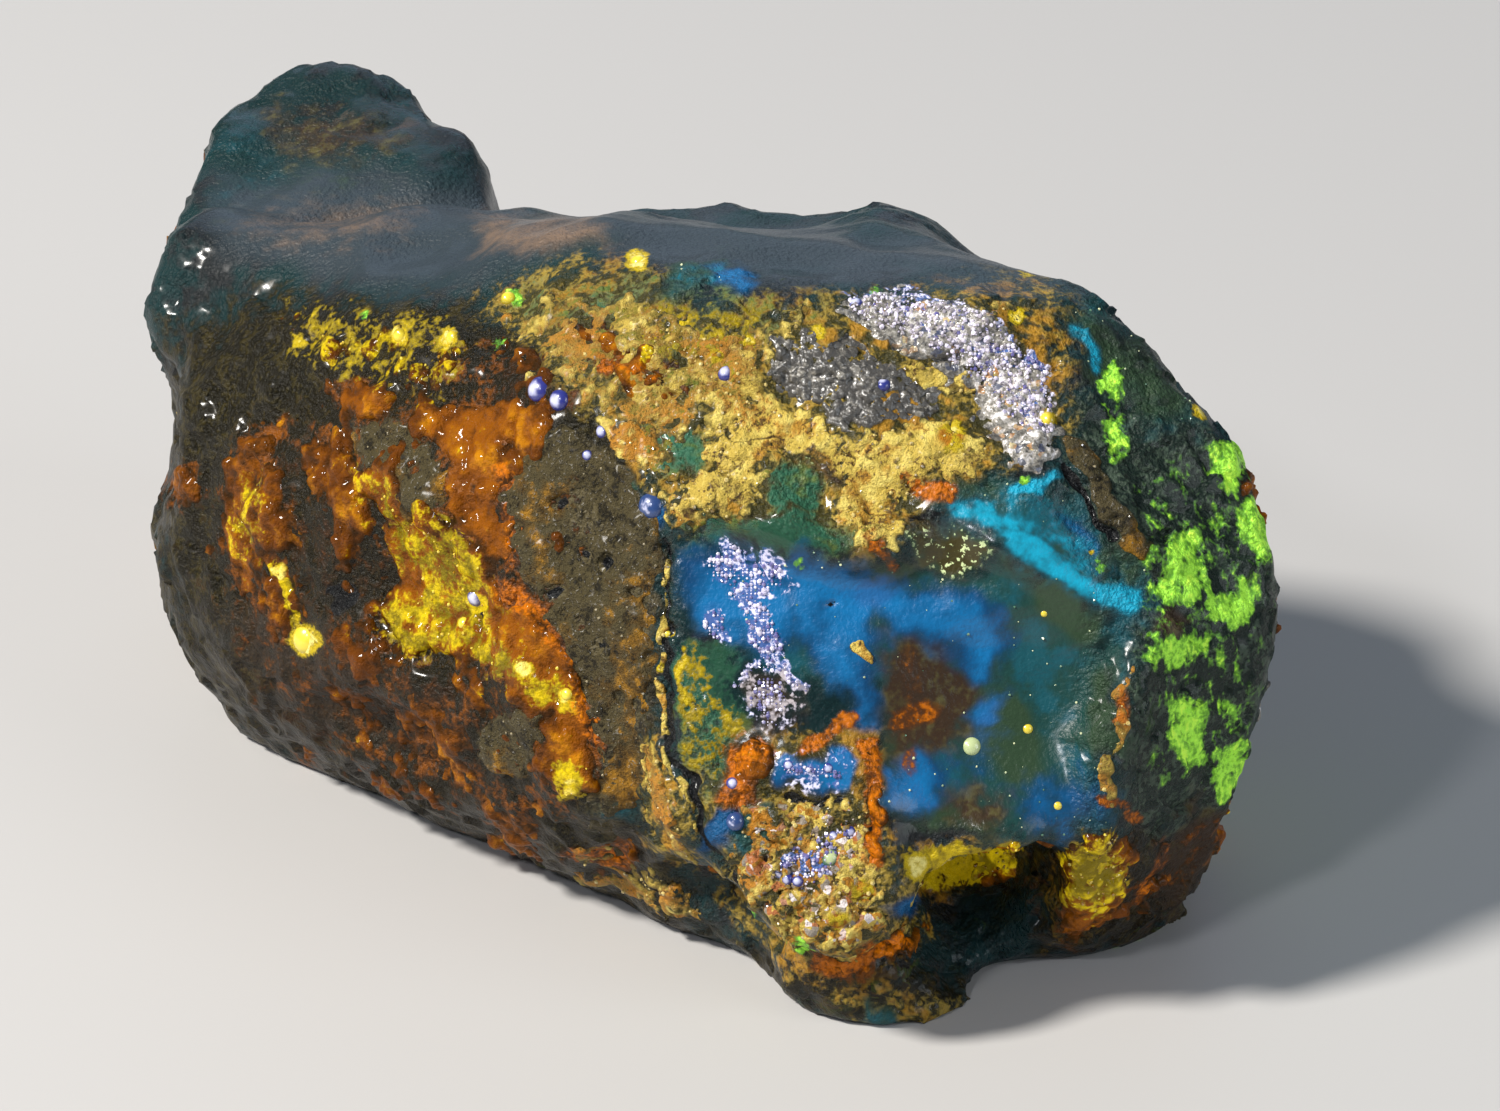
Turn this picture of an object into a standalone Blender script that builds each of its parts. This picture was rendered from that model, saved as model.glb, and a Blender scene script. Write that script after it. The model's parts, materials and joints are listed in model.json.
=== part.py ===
"""A rough lump of amber-coloured opal, one natural piece, modelled in metres with +Z up.

The lump is a tall glassy block at the front and right, with a lower tail that runs back to the
left and rises again at its far end. A clay crust caps the block, hangs in a ledge over its front
face and fills the chin below it. The lump stands on its own flattened underside at Z = 0, with its
bounding box centred on X = Y = 0. All sizes and places below are in millimetres.
"""

import math

import bmesh
import bpy
from mathutils import Matrix, Vector, noise

for old in list(bpy.data.objects):
    bpy.data.objects.remove(old)

MM = 0.001
NODE = "opal_lump"

# Where the box's centre falls in the coordinates that the corners below are given in.
BOX_CENTRE = (-1.37, 0.79)

# The corners that each mass of the lump spans. The masses overlap and are fused into one.
MASSES = {
    "block": {
        "front face, upper left": (-2.3, -8.2, 13.2),
        "front face, left": (-2.6, -9.7, 9.8),
        "front face, lower left": (-1.6, -12.1, 6.0),
        "front face, lower middle": (3.2, -12.5, 6.0),
        "front face, lower right": (8.2, -12.1, 5.9),
        "front face, right": (9.8, -9.9, 10.2),
        "front face, upper right": (7.6, -8.2, 13.4),
        "crust, left": (-5.0, -5.3, 14.4),
        "crust, front": (1.2, -6.8, 15.1),
        "crust, right": (6.8, -6.0, 15.4),
        "brow, left": (-4.9, -2.6, 16.1),
        "brow, middle": (1.0, -4.4, 16.5),
        "brow, right": (6.1, -4.4, 16.0),
        "crown, far left": (-5.0, -0.2, 16.2),
        "crown, left": (-1.2, -0.4, 16.4),
        "crown, middle": (1.6, -0.9, 16.4),
        "crown, right": (5.6, -2.2, 16.0),
        "crown, far right": (8.0, -3.3, 15.7),
        "shoulder": (9.9, -4.9, 14.6),
        "right side, top": (11.8, -5.9, 13.3),
        "right side, widest": (13.0, -6.6, 11.5),
        "right side, middle": (12.5, -8.6, 8.4),
        "right side, low": (12.2, -8.8, 5.2),
        "right side, foot": (11.7, -7.6, 2.8),
        "right side, back": (11.6, 0.4, 8.8),
        "right side, back foot": (10.4, 0.6, 1.6),
        "back, right": (7.6, 3.6, 12.4),
        "back, right foot": (6.6, 5.4, 1.6),
        "back, high": (2.6, 5.0, 14.0),
        "back, low": (1.6, 8.2, 3.0),
        "underside, left": (-3.0, -6.4, -0.2),
        "underside, front": (2.2, -9.4, -0.6),
        "underside, right": (7.6, -8.2, -0.6),
        "underside, back right": (9.4, -0.6, -0.6),
        "underside, back": (3.2, 5.0, -0.6),
    },
    "tail": {
        "flank, near top": (-4.4, -6.2, 13.8),
        "flank, near": (-3.4, -8.9, 9.6),
        "flank, near low": (-3.4, -9.9, 5.0),
        "flank, near foot": (-3.8, -7.0, 1.3),
        "flank, middle top": (-8.8, -0.9, 14.3),
        "flank, middle high": (-8.8, -4.6, 10.6),
        "flank, middle": (-8.8, -5.6, 7.4),
        "flank, middle low": (-8.4, -4.2, 2.4),
        "flank, far top": (-11.6, 1.4, 13.4),
        "flank, far high": (-12.2, -1.4, 9.8),
        "flank, far": (-12.6, -2.0, 5.2),
        "flank, far low": (-11.6, -1.6, 2.2),
        "left end, high": (-14.8, 2.6, 10.4),
        "left end": (-15.6, 2.0, 7.0),
        "left end, low": (-15.0, 1.4, 3.4),
        "left end, foot": (-13.6, 2.2, 1.0),
        "left side, top": (-14.4, 6.6, 12.6),
        "left side, low": (-15.2, 7.6, 3.6),
        "top, far left": (-12.6, 8.6, 12.6),
        "top, far right": (-7.4, 7.2, 13.4),
        "top, near": (-5.0, -0.4, 16.1),
        "back, near high": (1.4, 5.2, 14.0),
        "back, near low": (2.0, 8.8, 3.0),
        "back, far high": (-5.6, 9.4, 10.8),
        "back, far low": (-5.4, 10.8, 2.6),
        "inside the block, high": (5.0, 1.0, 13.6),
        "inside the block, low": (6.0, 2.0, 1.0),
        "underside, near": (-3.4, -5.0, -0.6),
        "underside, left": (-11.4, 1.6, -0.4),
        "underside, far": (-11.2, 8.0, -0.6),
        "underside, back": (-3.4, 8.0, -0.6),
    },
    "far end": {
        "near left": (-15.3, 8.0, 11.6),
        "near left, low": (-15.4, 7.0, 3.6),
        "near right": (-6.9, 8.6, 12.6),
        "top, near left": (-14.8, 12.0, 13.4),
        "top, left": (-14.2, 14.4, 13.7),
        "top, middle": (-12.0, 15.2, 14.2),
        "top, right": (-9.0, 14.4, 14.0),
        "top, near right": (-7.6, 11.6, 13.7),
        "left, low": (-14.6, 12.6, 4.4),
        "far, low": (-12.0, 15.0, 3.6),
        "right, low": (-7.8, 13.0, 3.0),
        "right, high": (-6.8, 11.8, 10.0),
        "inside": (-9.4, 6.0, 2.0),
        "underside, left": (-12.6, 11.4, -0.2),
        "underside, right": (-9.0, 11.8, -0.2),
    },
    "shelf at the back": {
        "left, high": (-2.4, 10.6, 5.0),
        "middle, high": (2.6, 10.6, 6.6),
        "right, high": (7.0, 7.2, 5.6),
        "far right, high": (10.0, 2.6, 6.0),
        "left, low": (-1.6, 10.0, 0.4),
        "middle, low": (3.6, 9.6, 0.8),
        "right, low": (8.0, 5.2, 0.4),
        "inside, left": (-2.0, 3.0, 8.4),
        "inside, right": (6.4, 0.0, 9.4),
        "underside, left": (-1.0, 6.0, -0.6),
        "underside, right": (6.0, 2.0, -0.6),
    },
    "chin": {
        "brow, left": (-0.2, -11.7, 7.2),
        "brow, right": (2.8, -11.6, 7.4),
        "cheek, left": (-0.9, -12.4, 5.4),
        "cheek, right": (3.6, -12.9, 5.8),
        "nose, left": (0.2, -13.2, 4.0),
        "nose, tip": (1.9, -14.1, 3.1),
        "nose, right": (3.7, -13.4, 3.7),
        "inside, left": (-0.4, -9.0, 3.0),
        "inside, right": (4.6, -9.0, 3.4),
        "inside, high": (1.4, -9.0, 8.6),
    },
    "front foot": {
        "tip": (3.4, -12.3, -0.6),
        "left": (1.2, -10.9, -0.6),
        "right": (5.8, -11.6, -0.6),
        "top, left": (0.8, -12.0, 2.4),
        "top, middle": (3.0, -12.6, 2.0),
        "top, right": (5.2, -11.4, 1.2),
        "inside, left": (0.0, -8.0, -0.6),
        "inside, right": (5.4, -8.0, -0.6),
        "inside, high": (3.0, -9.0, 5.0),
    },
    "right foot": {
        "inner": (7.4, -8.7, -0.6),
        "outer": (10.2, -8.0, 0.4),
        "side": (11.8, -8.2, 3.2),
        "rim, outer": (11.5, -9.6, 5.2),
        "rim, inner": (7.8, -12.2, 5.2),
        "front": (9.0, -10.2, 2.6),
        "back, outer": (12.2, -4.0, 4.4),
        "back, foot": (10.8, -3.6, -0.2),
        "inside": (7.2, -4.0, -0.6),
        "inside, high": (8.6, -5.0, 7.0),
    },
}

# Thin raised strands, which lie on the skin: name, radius and the places that each runs through.
STRANDS = (
    ("crust ledge", 0.60, ((-1.6, -8.2, 13.0), (0.2, -8.9, 12.7), (2.0, -9.4, 12.2), (3.6, -9.2, 12.2),
                           (4.8, -8.5, 13.0))),
    ("ridge over the front face", 0.40, ((4.8, -8.8, 12.6), (6.2, -9.2, 12.1), (7.6, -9.5, 11.4),
                                         (9.3, -9.7, 10.4))),
    ("strip beside the ridge", 0.34, ((7.7, -7.5, 13.5), (8.7, -8.4, 12.2), (9.7, -9.1, 11.0))),
    ("right rim", 0.50, ((9.7, -9.7, 10.3), (8.9, -10.8, 8.4), (8.4, -11.8, 6.8), (8.6, -11.8, 5.4))),
    ("rim over the hollow", 0.42, ((3.4, -13.4, 4.0), (4.5, -13.2, 4.9), (6.0, -12.7, 5.5),
                                   (7.6, -12.2, 5.9))),
    ("lip of the chin", 0.30, ((-0.6, -12.4, 6.8), (0.2, -12.2, 7.8), (1.6, -12.3, 8.0),
                               (2.8, -12.2, 7.8), (3.4, -13.0, 6.4), (3.4, -13.6, 5.0))),
    ("vein, upper", 0.32, ((-9.8, -2.8, 11.6), (-8.2, -4.2, 11.0), (-6.8, -5.6, 10.6), (-5.6, -7.2, 9.0))),
    ("vein, lower", 0.34, ((-6.4, -7.2, 9.4), (-5.6, -8.2, 7.4), (-4.8, -8.8, 6.0), (-5.0, -8.8, 4.4))),
    ("vein, far", 0.32, ((-11.8, -1.6, 10.4), (-12.6, -2.0, 8.0), (-12.0, -2.8, 6.0))),
    ("strip beside the seam", 0.30, ((-2.8, -10.9, 7.4), (-2.4, -11.6, 6.2), (-1.6, -12.4, 4.8))),
)

# Grooves, given like the strands.
GROOVES = (
    ("seam beside the flank", 0.34, ((-2.3, -7.9, 13.2), (-2.6, -9.5, 10.4), (-2.5, -10.9, 8.2),
                                     (-1.7, -12.2, 6.2), (-0.5, -13.3, 4.2))),
    ("groove beside the strip", 0.26, ((7.2, -8.0, 13.4), (8.2, -8.9, 12.0), (9.2, -9.6, 10.9))),
)
PLACES_ALONG_A_STRAND = 14

# Shell-shaped breaks and hollows: name, centre of the mouth, the way it faces, the mouth's half
# width and half height, and the depth. Each mouth's centre is moved to the skin nearest to it.
BREAKS = (
    ("hollow of the front face", (6.0, -10.9, 8.6), (0.0, -0.88, 0.47), 3.2, 2.5, 0.55),
    ("under the front face", (6.0, -12.6, 2.4), (0.22, -1.0, -0.15), 2.1, 2.6, 3.40),
    ("undercut of the chin, left", (-1.8, -12.0, 1.6), (-0.5, -1.0, -0.4), 2.0, 1.6, 1.20),
    ("over the crust ledge", (1.4, -7.0, 15.0), (-0.1, -0.75, 0.66), 3.6, 1.5, 0.35),
    ("grey patch", (4.6, -6.9, 15.4), (0.2, -0.7, 0.7), 3.0, 1.5, 0.40),
    ("step in the flank", (-7.6, -6.4, 9.4), (-0.66, -0.74, 0.1), 3.2, 2.4, 0.45),
    ("grey oval in the flank", (-6.0, -8.4, 6.4), (-0.6, -0.8, 0.0), 1.0, 1.0, 0.35),
    ("hollow low in the flank", (-9.4, -5.0, 4.2), (-0.6, -0.8, -0.2), 3.0, 1.5, 0.80),
    ("shell on the left end", (-15.2, 4.6, 8.6), (-1.0, -0.2, 0.2), 3.4, 3.0, 0.70),
    ("left end, low", (-15.6, 8.6, 4.2), (-1.0, 0.1, -0.2), 3.4, 2.2, 0.60),
    ("dip before the far end", (-11.0, 8.3, 13.5), (0.0, -0.1, 1.0), 5.0, 1.8, 0.80),
    ("top of the tail", (-8.6, 3.2, 14.6), (-0.2, 0.1, 1.0), 3.4, 2.8, 0.35),
    ("behind the crown", (-0.6, 3.8, 15.0), (0.0, 0.6, 0.8), 4.2, 2.4, 0.60),
    ("shoulder break", (9.4, -0.4, 13.6), (0.6, 0.5, 0.6), 3.4, 2.4, 0.70),
    ("right side, upper", (12.9, -4.0, 10.2), (1.0, 0.1, 0.1), 3.0, 2.8, 0.50),
    ("right side, lower", (12.2, -5.4, 4.6), (1.0, -0.1, -0.2), 3.0, 1.8, 0.45),
    ("back right", (10.6, 2.2, 9.0), (0.75, 0.65, 0.1), 3.6, 3.2, 0.90),
    ("over the shelf", (4.4, 6.6, 9.8), (0.25, 0.9, 0.3), 4.2, 2.8, 1.00),
    ("back, left", (-3.4, 9.4, 8.0), (0.0, 1.0, 0.1), 3.6, 3.4, 0.70),
    ("back, low left", (-3.6, 11.0, 2.8), (0.1, 1.0, -0.1), 3.0, 1.8, 0.60),
    ("front of the shelf", (5.6, 8.4, 3.0), (0.5, 0.9, -0.1), 3.0, 2.0, 0.50),
    ("nook before the far end", (-6.0, 12.0, 7.0), (0.6, 0.8, 0.0), 3.0, 4.4, 0.80),
    ("far end, back", (-10.8, 15.0, 8.0), (0.1, 1.0, 0.0), 3.0, 4.0, 0.60),
    ("far end, left", (-14.9, 12.4, 8.6), (-1.0, 0.3, 0.0), 2.8, 3.6, 0.50),
)

ROUGH_VOXEL = 0.42
FINE_VOXEL = 0.32
ROUNDING_PASSES = 4
EASING_PASSES = 1
# Sizes of the shallow dishes that the breaks leave all over, with the depth of each, and of the
# small lumps on them.
DISHES = ((5.6, 0.85), (2.9, 0.28), (1.5, 0.10))
RIPPLES = ((3.0, 0.12), (1.1, 0.07))
BASE_HEIGHT = 0.55
MOST_TRIANGLES = 9400


def new_object(name, bm):
    """A mesh object made from bm, linked to the scene."""
    mesh = bpy.data.meshes.new(name)
    bm.to_mesh(mesh)
    bm.free()
    made = bpy.data.objects.new(name, mesh)
    bpy.context.scene.collection.objects.link(made)
    return made


def mass(name, corners):
    """The closed block that the named corners span."""
    bm = bmesh.new()
    for place in corners.values():
        bm.verts.new(Vector(place) * MM)
    spanned = bmesh.ops.convex_hull(bm, input=bm.verts)
    inside = [g for g in spanned["geom_interior"] if isinstance(g, bmesh.types.BMVert)]
    bmesh.ops.delete(bm, geom=inside, context="VERTS")
    bmesh.ops.recalc_face_normals(bm, faces=bm.faces)
    return new_object(name, bm)


def on_skin(stone, place):
    """The place on the stone's skin that is nearest to a place."""
    found = stone.closest_point_on_mesh(Vector(place) * MM)
    return found[1] / MM


def smooth_route(places, count):
    """That many places along a smooth line through the given ones."""
    knots = [Vector(place) for place in places]
    knots = [2 * knots[0] - knots[1], *knots, 2 * knots[-1] - knots[-2]]
    spans = len(places) - 1
    route = []
    for step in range(count):
        along = spans * step / (count - 1)
        span = min(int(along), spans - 1)
        t = along - span
        before, start, end, after = knots[span:span + 4]
        bend = (before * -1 + start * 3 - end * 3 + after) * t ** 3
        lean = (before * 2 - start * 5 + end * 4 - after) * t ** 2
        route.append(0.5 * (start * 2 + (end - before) * t + lean + bend))
    return route


def strand(stone, name, radius, places):
    """A round strand with closed, thinner ends, which lies on the stone's skin."""
    curve = bpy.data.curves.new(name, "CURVE")
    curve.dimensions = "3D"
    curve.bevel_depth = radius * MM
    curve.bevel_resolution = 3
    curve.use_fill_caps = True
    spline = curve.splines.new("POLY")
    spline.points.add(PLACES_ALONG_A_STRAND - 1)
    for step, place in enumerate(smooth_route(places, PLACES_ALONG_A_STRAND)):
        point = spline.points[step]
        point.co = (*(on_skin(stone, place) * MM), 1.0)
        from_middle = abs(2.0 * step / (PLACES_ALONG_A_STRAND - 1) - 1.0)
        point.radius = 1.1 - 0.7 * from_middle ** 3
    guide = bpy.data.objects.new(name, curve)
    bpy.context.scene.collection.objects.link(guide)
    seen = guide.evaluated_get(bpy.context.evaluated_depsgraph_get())
    bm = bmesh.new()
    bm.from_mesh(seen.to_mesh())
    bpy.data.objects.remove(guide)
    bmesh.ops.remove_doubles(bm, verts=bm.verts, dist=0.02 * MM)
    bmesh.ops.recalc_face_normals(bm, faces=bm.faces)
    return new_object(name, bm)


def shell(stone, name, mouth, facing, half_width, half_height, depth):
    """The ball that leaves a dish of that mouth and depth in the stone's skin."""
    bm = bmesh.new()
    bmesh.ops.create_icosphere(bm, subdivisions=4, radius=1.0)
    outward = Vector(facing).normalized()
    turn = outward.to_track_quat("Z", "Y").to_matrix().to_4x4()
    # The mouth lies half way up the ball's lower half, where the ball is this much narrower.
    narrowing = math.sqrt(1.0 - 0.5 ** 2)
    radii = (half_width / narrowing, half_height / narrowing, 2.0 * depth, 1.0)
    centre = on_skin(stone, mouth) + outward * depth
    place = Matrix.Translation(centre * MM) @ turn @ Matrix.Scale(MM, 4) @ Matrix.Diagonal(radii)
    bmesh.ops.transform(bm, matrix=place, verts=bm.verts)
    return new_object(name, bm)


def join(objects):
    """One object that holds the meshes of them all."""
    with bpy.context.temp_override(
        active_object=objects[0], object=objects[0], selected_editable_objects=objects
    ):
        bpy.ops.object.join()
    return objects[0]


def apply(stone, kind, **settings):
    """Adds a modifier of that kind to the stone, and bakes it into the mesh."""
    modifier = stone.modifiers.new(kind.title(), kind)
    for name, value in settings.items():
        setattr(modifier, name, value)
    with bpy.context.temp_override(object=stone, active_object=stone):
        bpy.ops.object.modifier_apply(modifier=modifier.name)


def fuse(stone, voxel, passes):
    """Makes the overlapping shapes one skin of even faces, and rounds its edges."""
    apply(stone, "REMESH", mode="VOXEL", voxel_size=voxel * MM)
    apply(stone, "SMOOTH", factor=0.5, iterations=passes)


def cut_away(stone, cutter):
    """Cuts the cutter out of the stone, and removes it.

    The exact solver loses the stone at one of the cuts, so all are made with the manifold one.
    """
    apply(stone, "BOOLEAN", operation="DIFFERENCE", object=cutter, solver="MANIFOLD")
    bpy.data.objects.remove(cutter)


def dished(place):
    """How far the skin stands out at a place, from shallow dishes that meet in ridges."""
    height = 0.0
    for size, depth in DISHES:
        nearest = noise.voronoi(place / size)[0][0]
        height += depth * (1.6 * nearest * nearest - 0.35)
    return height


def rippled(place):
    """How far the skin stands out at a place, from small rounded lumps."""
    return sum(amount * noise.noise(place / size) for size, amount in RIPPLES)


def weather(stone):
    """Moves the skin in and out, as breaks and wear have left it, most at the back."""
    mesh = stone.data
    normals = [v.normal.copy() for v in mesh.vertices]
    for vertex, normal in zip(mesh.vertices, normals):
        place = vertex.co / MM
        roughness = min(1.0, max(0.35, 0.35 + (place.y + 6.0) / 12.0))
        vertex.co += normal * (roughness * dished(place) + rippled(place)) * MM


def cut_flat(stone, height):
    """Cuts the underside off flat at that height, and closes the cut."""
    bm = bmesh.new()
    bm.from_mesh(stone.data)
    bmesh.ops.bisect_plane(
        bm,
        geom=[*bm.verts, *bm.edges, *bm.faces],
        plane_co=(0, 0, height * MM),
        plane_no=(0, 0, 1),
        clear_inner=True,
    )
    rim = [e for e in bm.edges if e.is_boundary]
    bmesh.ops.edgeloop_fill(bm, edges=rim)
    bmesh.ops.triangulate(bm, faces=bm.faces)
    bmesh.ops.recalc_face_normals(bm, faces=bm.faces)
    bm.to_mesh(stone.data)
    bm.free()


def thin(stone, most):
    """Takes faces away where the skin is smoothest, until no more than most are left."""
    apply(stone, "DECIMATE", decimate_type="COLLAPSE", ratio=most / len(stone.data.polygons))


def opal():
    """The stone's plain material."""
    material = bpy.data.materials.new("amber_opal")
    material.use_nodes = True
    shader = material.node_tree.nodes["Principled BSDF"]
    shader.inputs["Base Color"].default_value = (0.16, 0.11, 0.035, 1.0)
    shader.inputs["Roughness"].default_value = 0.25
    shader.inputs["Metallic"].default_value = 0.0
    return material


def build():
    """The whole stone."""
    stone = join([mass(name, corners) for name, corners in MASSES.items()])
    stone.name = NODE
    stone.data.name = NODE
    fuse(stone, ROUGH_VOXEL, ROUNDING_PASSES)
    for hollow in BREAKS:
        cut_away(stone, shell(stone, *hollow))
    raised = [strand(stone, *line) for line in STRANDS]
    for line in GROOVES:
        cut_away(stone, strand(stone, *line))
    join([stone, *raised])
    fuse(stone, FINE_VOXEL, EASING_PASSES)
    weather(stone)
    cut_flat(stone, BASE_HEIGHT)
    thin(stone, MOST_TRIANGLES)
    to_base = Vector((-BOX_CENTRE[0], -BOX_CENTRE[1], -BASE_HEIGHT)) * MM
    stone.data.transform(Matrix.Translation(to_base))
    stone.data.materials.append(opal())
    stone.data.shade_smooth()
    stone.data.set_sharp_from_angle(angle=math.radians(40))
    return stone


build()
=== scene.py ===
"""The looks of a rough lump of amber-coloured opal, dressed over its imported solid.

The lump is glassy where it broke, dull where clay and weathered skin hold on, and shot through with
amber veins and flashes of blue, cyan and lime. Lengths are in millimetres until they reach Blender,
which takes metres. Places on the side that faces the camera are given as the camera sees them, in
points of its 1500 x 1111 picture, and are carried onto the stone's own skin.
"""

import json
import math
import random

import bmesh
import bpy
import numpy as np
from mathutils import Matrix, Vector
from mathutils.bvhtree import BVHTree

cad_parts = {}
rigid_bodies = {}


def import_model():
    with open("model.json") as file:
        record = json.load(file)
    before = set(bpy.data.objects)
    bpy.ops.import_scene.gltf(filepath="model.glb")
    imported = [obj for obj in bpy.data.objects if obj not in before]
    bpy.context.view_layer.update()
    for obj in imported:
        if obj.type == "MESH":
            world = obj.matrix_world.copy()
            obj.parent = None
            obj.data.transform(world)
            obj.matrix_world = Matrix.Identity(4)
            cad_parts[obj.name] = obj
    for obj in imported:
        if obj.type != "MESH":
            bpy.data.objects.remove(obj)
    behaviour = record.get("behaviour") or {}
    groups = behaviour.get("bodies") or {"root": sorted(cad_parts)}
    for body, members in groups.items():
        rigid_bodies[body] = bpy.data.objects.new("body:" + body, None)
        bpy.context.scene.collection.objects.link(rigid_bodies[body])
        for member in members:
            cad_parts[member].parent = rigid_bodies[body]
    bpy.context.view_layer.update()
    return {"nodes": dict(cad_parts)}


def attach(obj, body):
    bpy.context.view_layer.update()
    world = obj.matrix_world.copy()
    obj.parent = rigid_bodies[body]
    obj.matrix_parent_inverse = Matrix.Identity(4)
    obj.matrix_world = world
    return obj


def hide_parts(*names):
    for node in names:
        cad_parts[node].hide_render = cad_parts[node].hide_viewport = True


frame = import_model()

MM = 0.001
FLOOR_WIDE = 2000.0
ROOM_COLOUR = (0.55, 0.66, 0.82)
ROOM_LIGHT = 0.16

# ---------------------------------------------------------------------------------------------
# The camera, and where it sees things
# ---------------------------------------------------------------------------------------------

LOOK_AT = Vector((1.37, -0.79, 6.45))
CAMERA_DISTANCE = 170.0
CAMERA_ELEVATION = math.radians(28.0)
LENS = 160.0
SENSOR = 36.0
PICTURE_WIDE = 1500
PICTURE_HIGH = 1111

AHEAD = Vector((0.0, math.cos(CAMERA_ELEVATION), -math.sin(CAMERA_ELEVATION)))
RIGHT = Vector((1.0, 0.0, 0.0))
UP = RIGHT.cross(AHEAD)
CAMERA_AT = LOOK_AT - AHEAD * CAMERA_DISTANCE
POINTS_PER_SLOPE = LENS / SENSOR * PICTURE_WIDE


def picture_points(places):
    """Where the camera sees each place: points across and points down, as two arrays."""
    offsets = places - np.array(CAMERA_AT)
    depth = offsets @ np.array(AHEAD)
    across = PICTURE_WIDE / 2 + offsets @ np.array(RIGHT) / depth * POINTS_PER_SLOPE
    down = PICTURE_HIGH / 2 - offsets @ np.array(UP) / depth * POINTS_PER_SLOPE
    return across, down


def sight_line(across, down):
    """The direction from the camera through a point of its picture."""
    right = (across - PICTURE_WIDE / 2) / POINTS_PER_SLOPE
    up = (PICTURE_HIGH / 2 - down) / POINTS_PER_SLOPE
    return (AHEAD + RIGHT * right + UP * up).normalized()


def set_camera():
    """The camera, above the lump's front."""
    camera = bpy.data.objects.new("camera", bpy.data.cameras.new("camera"))
    bpy.context.scene.collection.objects.link(camera)
    camera.location = CAMERA_AT * MM
    camera.rotation_mode = "QUATERNION"
    camera.rotation_quaternion = AHEAD.to_track_quat("-Z", "Y")
    camera.data.lens = LENS
    camera.data.sensor_width = SENSOR
    camera.data.clip_start = 10 * MM
    camera.data.clip_end = 5000 * MM
    bpy.context.scene.camera = camera


# ---------------------------------------------------------------------------------------------
# Where each finish lies on the side that the camera sees
# ---------------------------------------------------------------------------------------------

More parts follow.
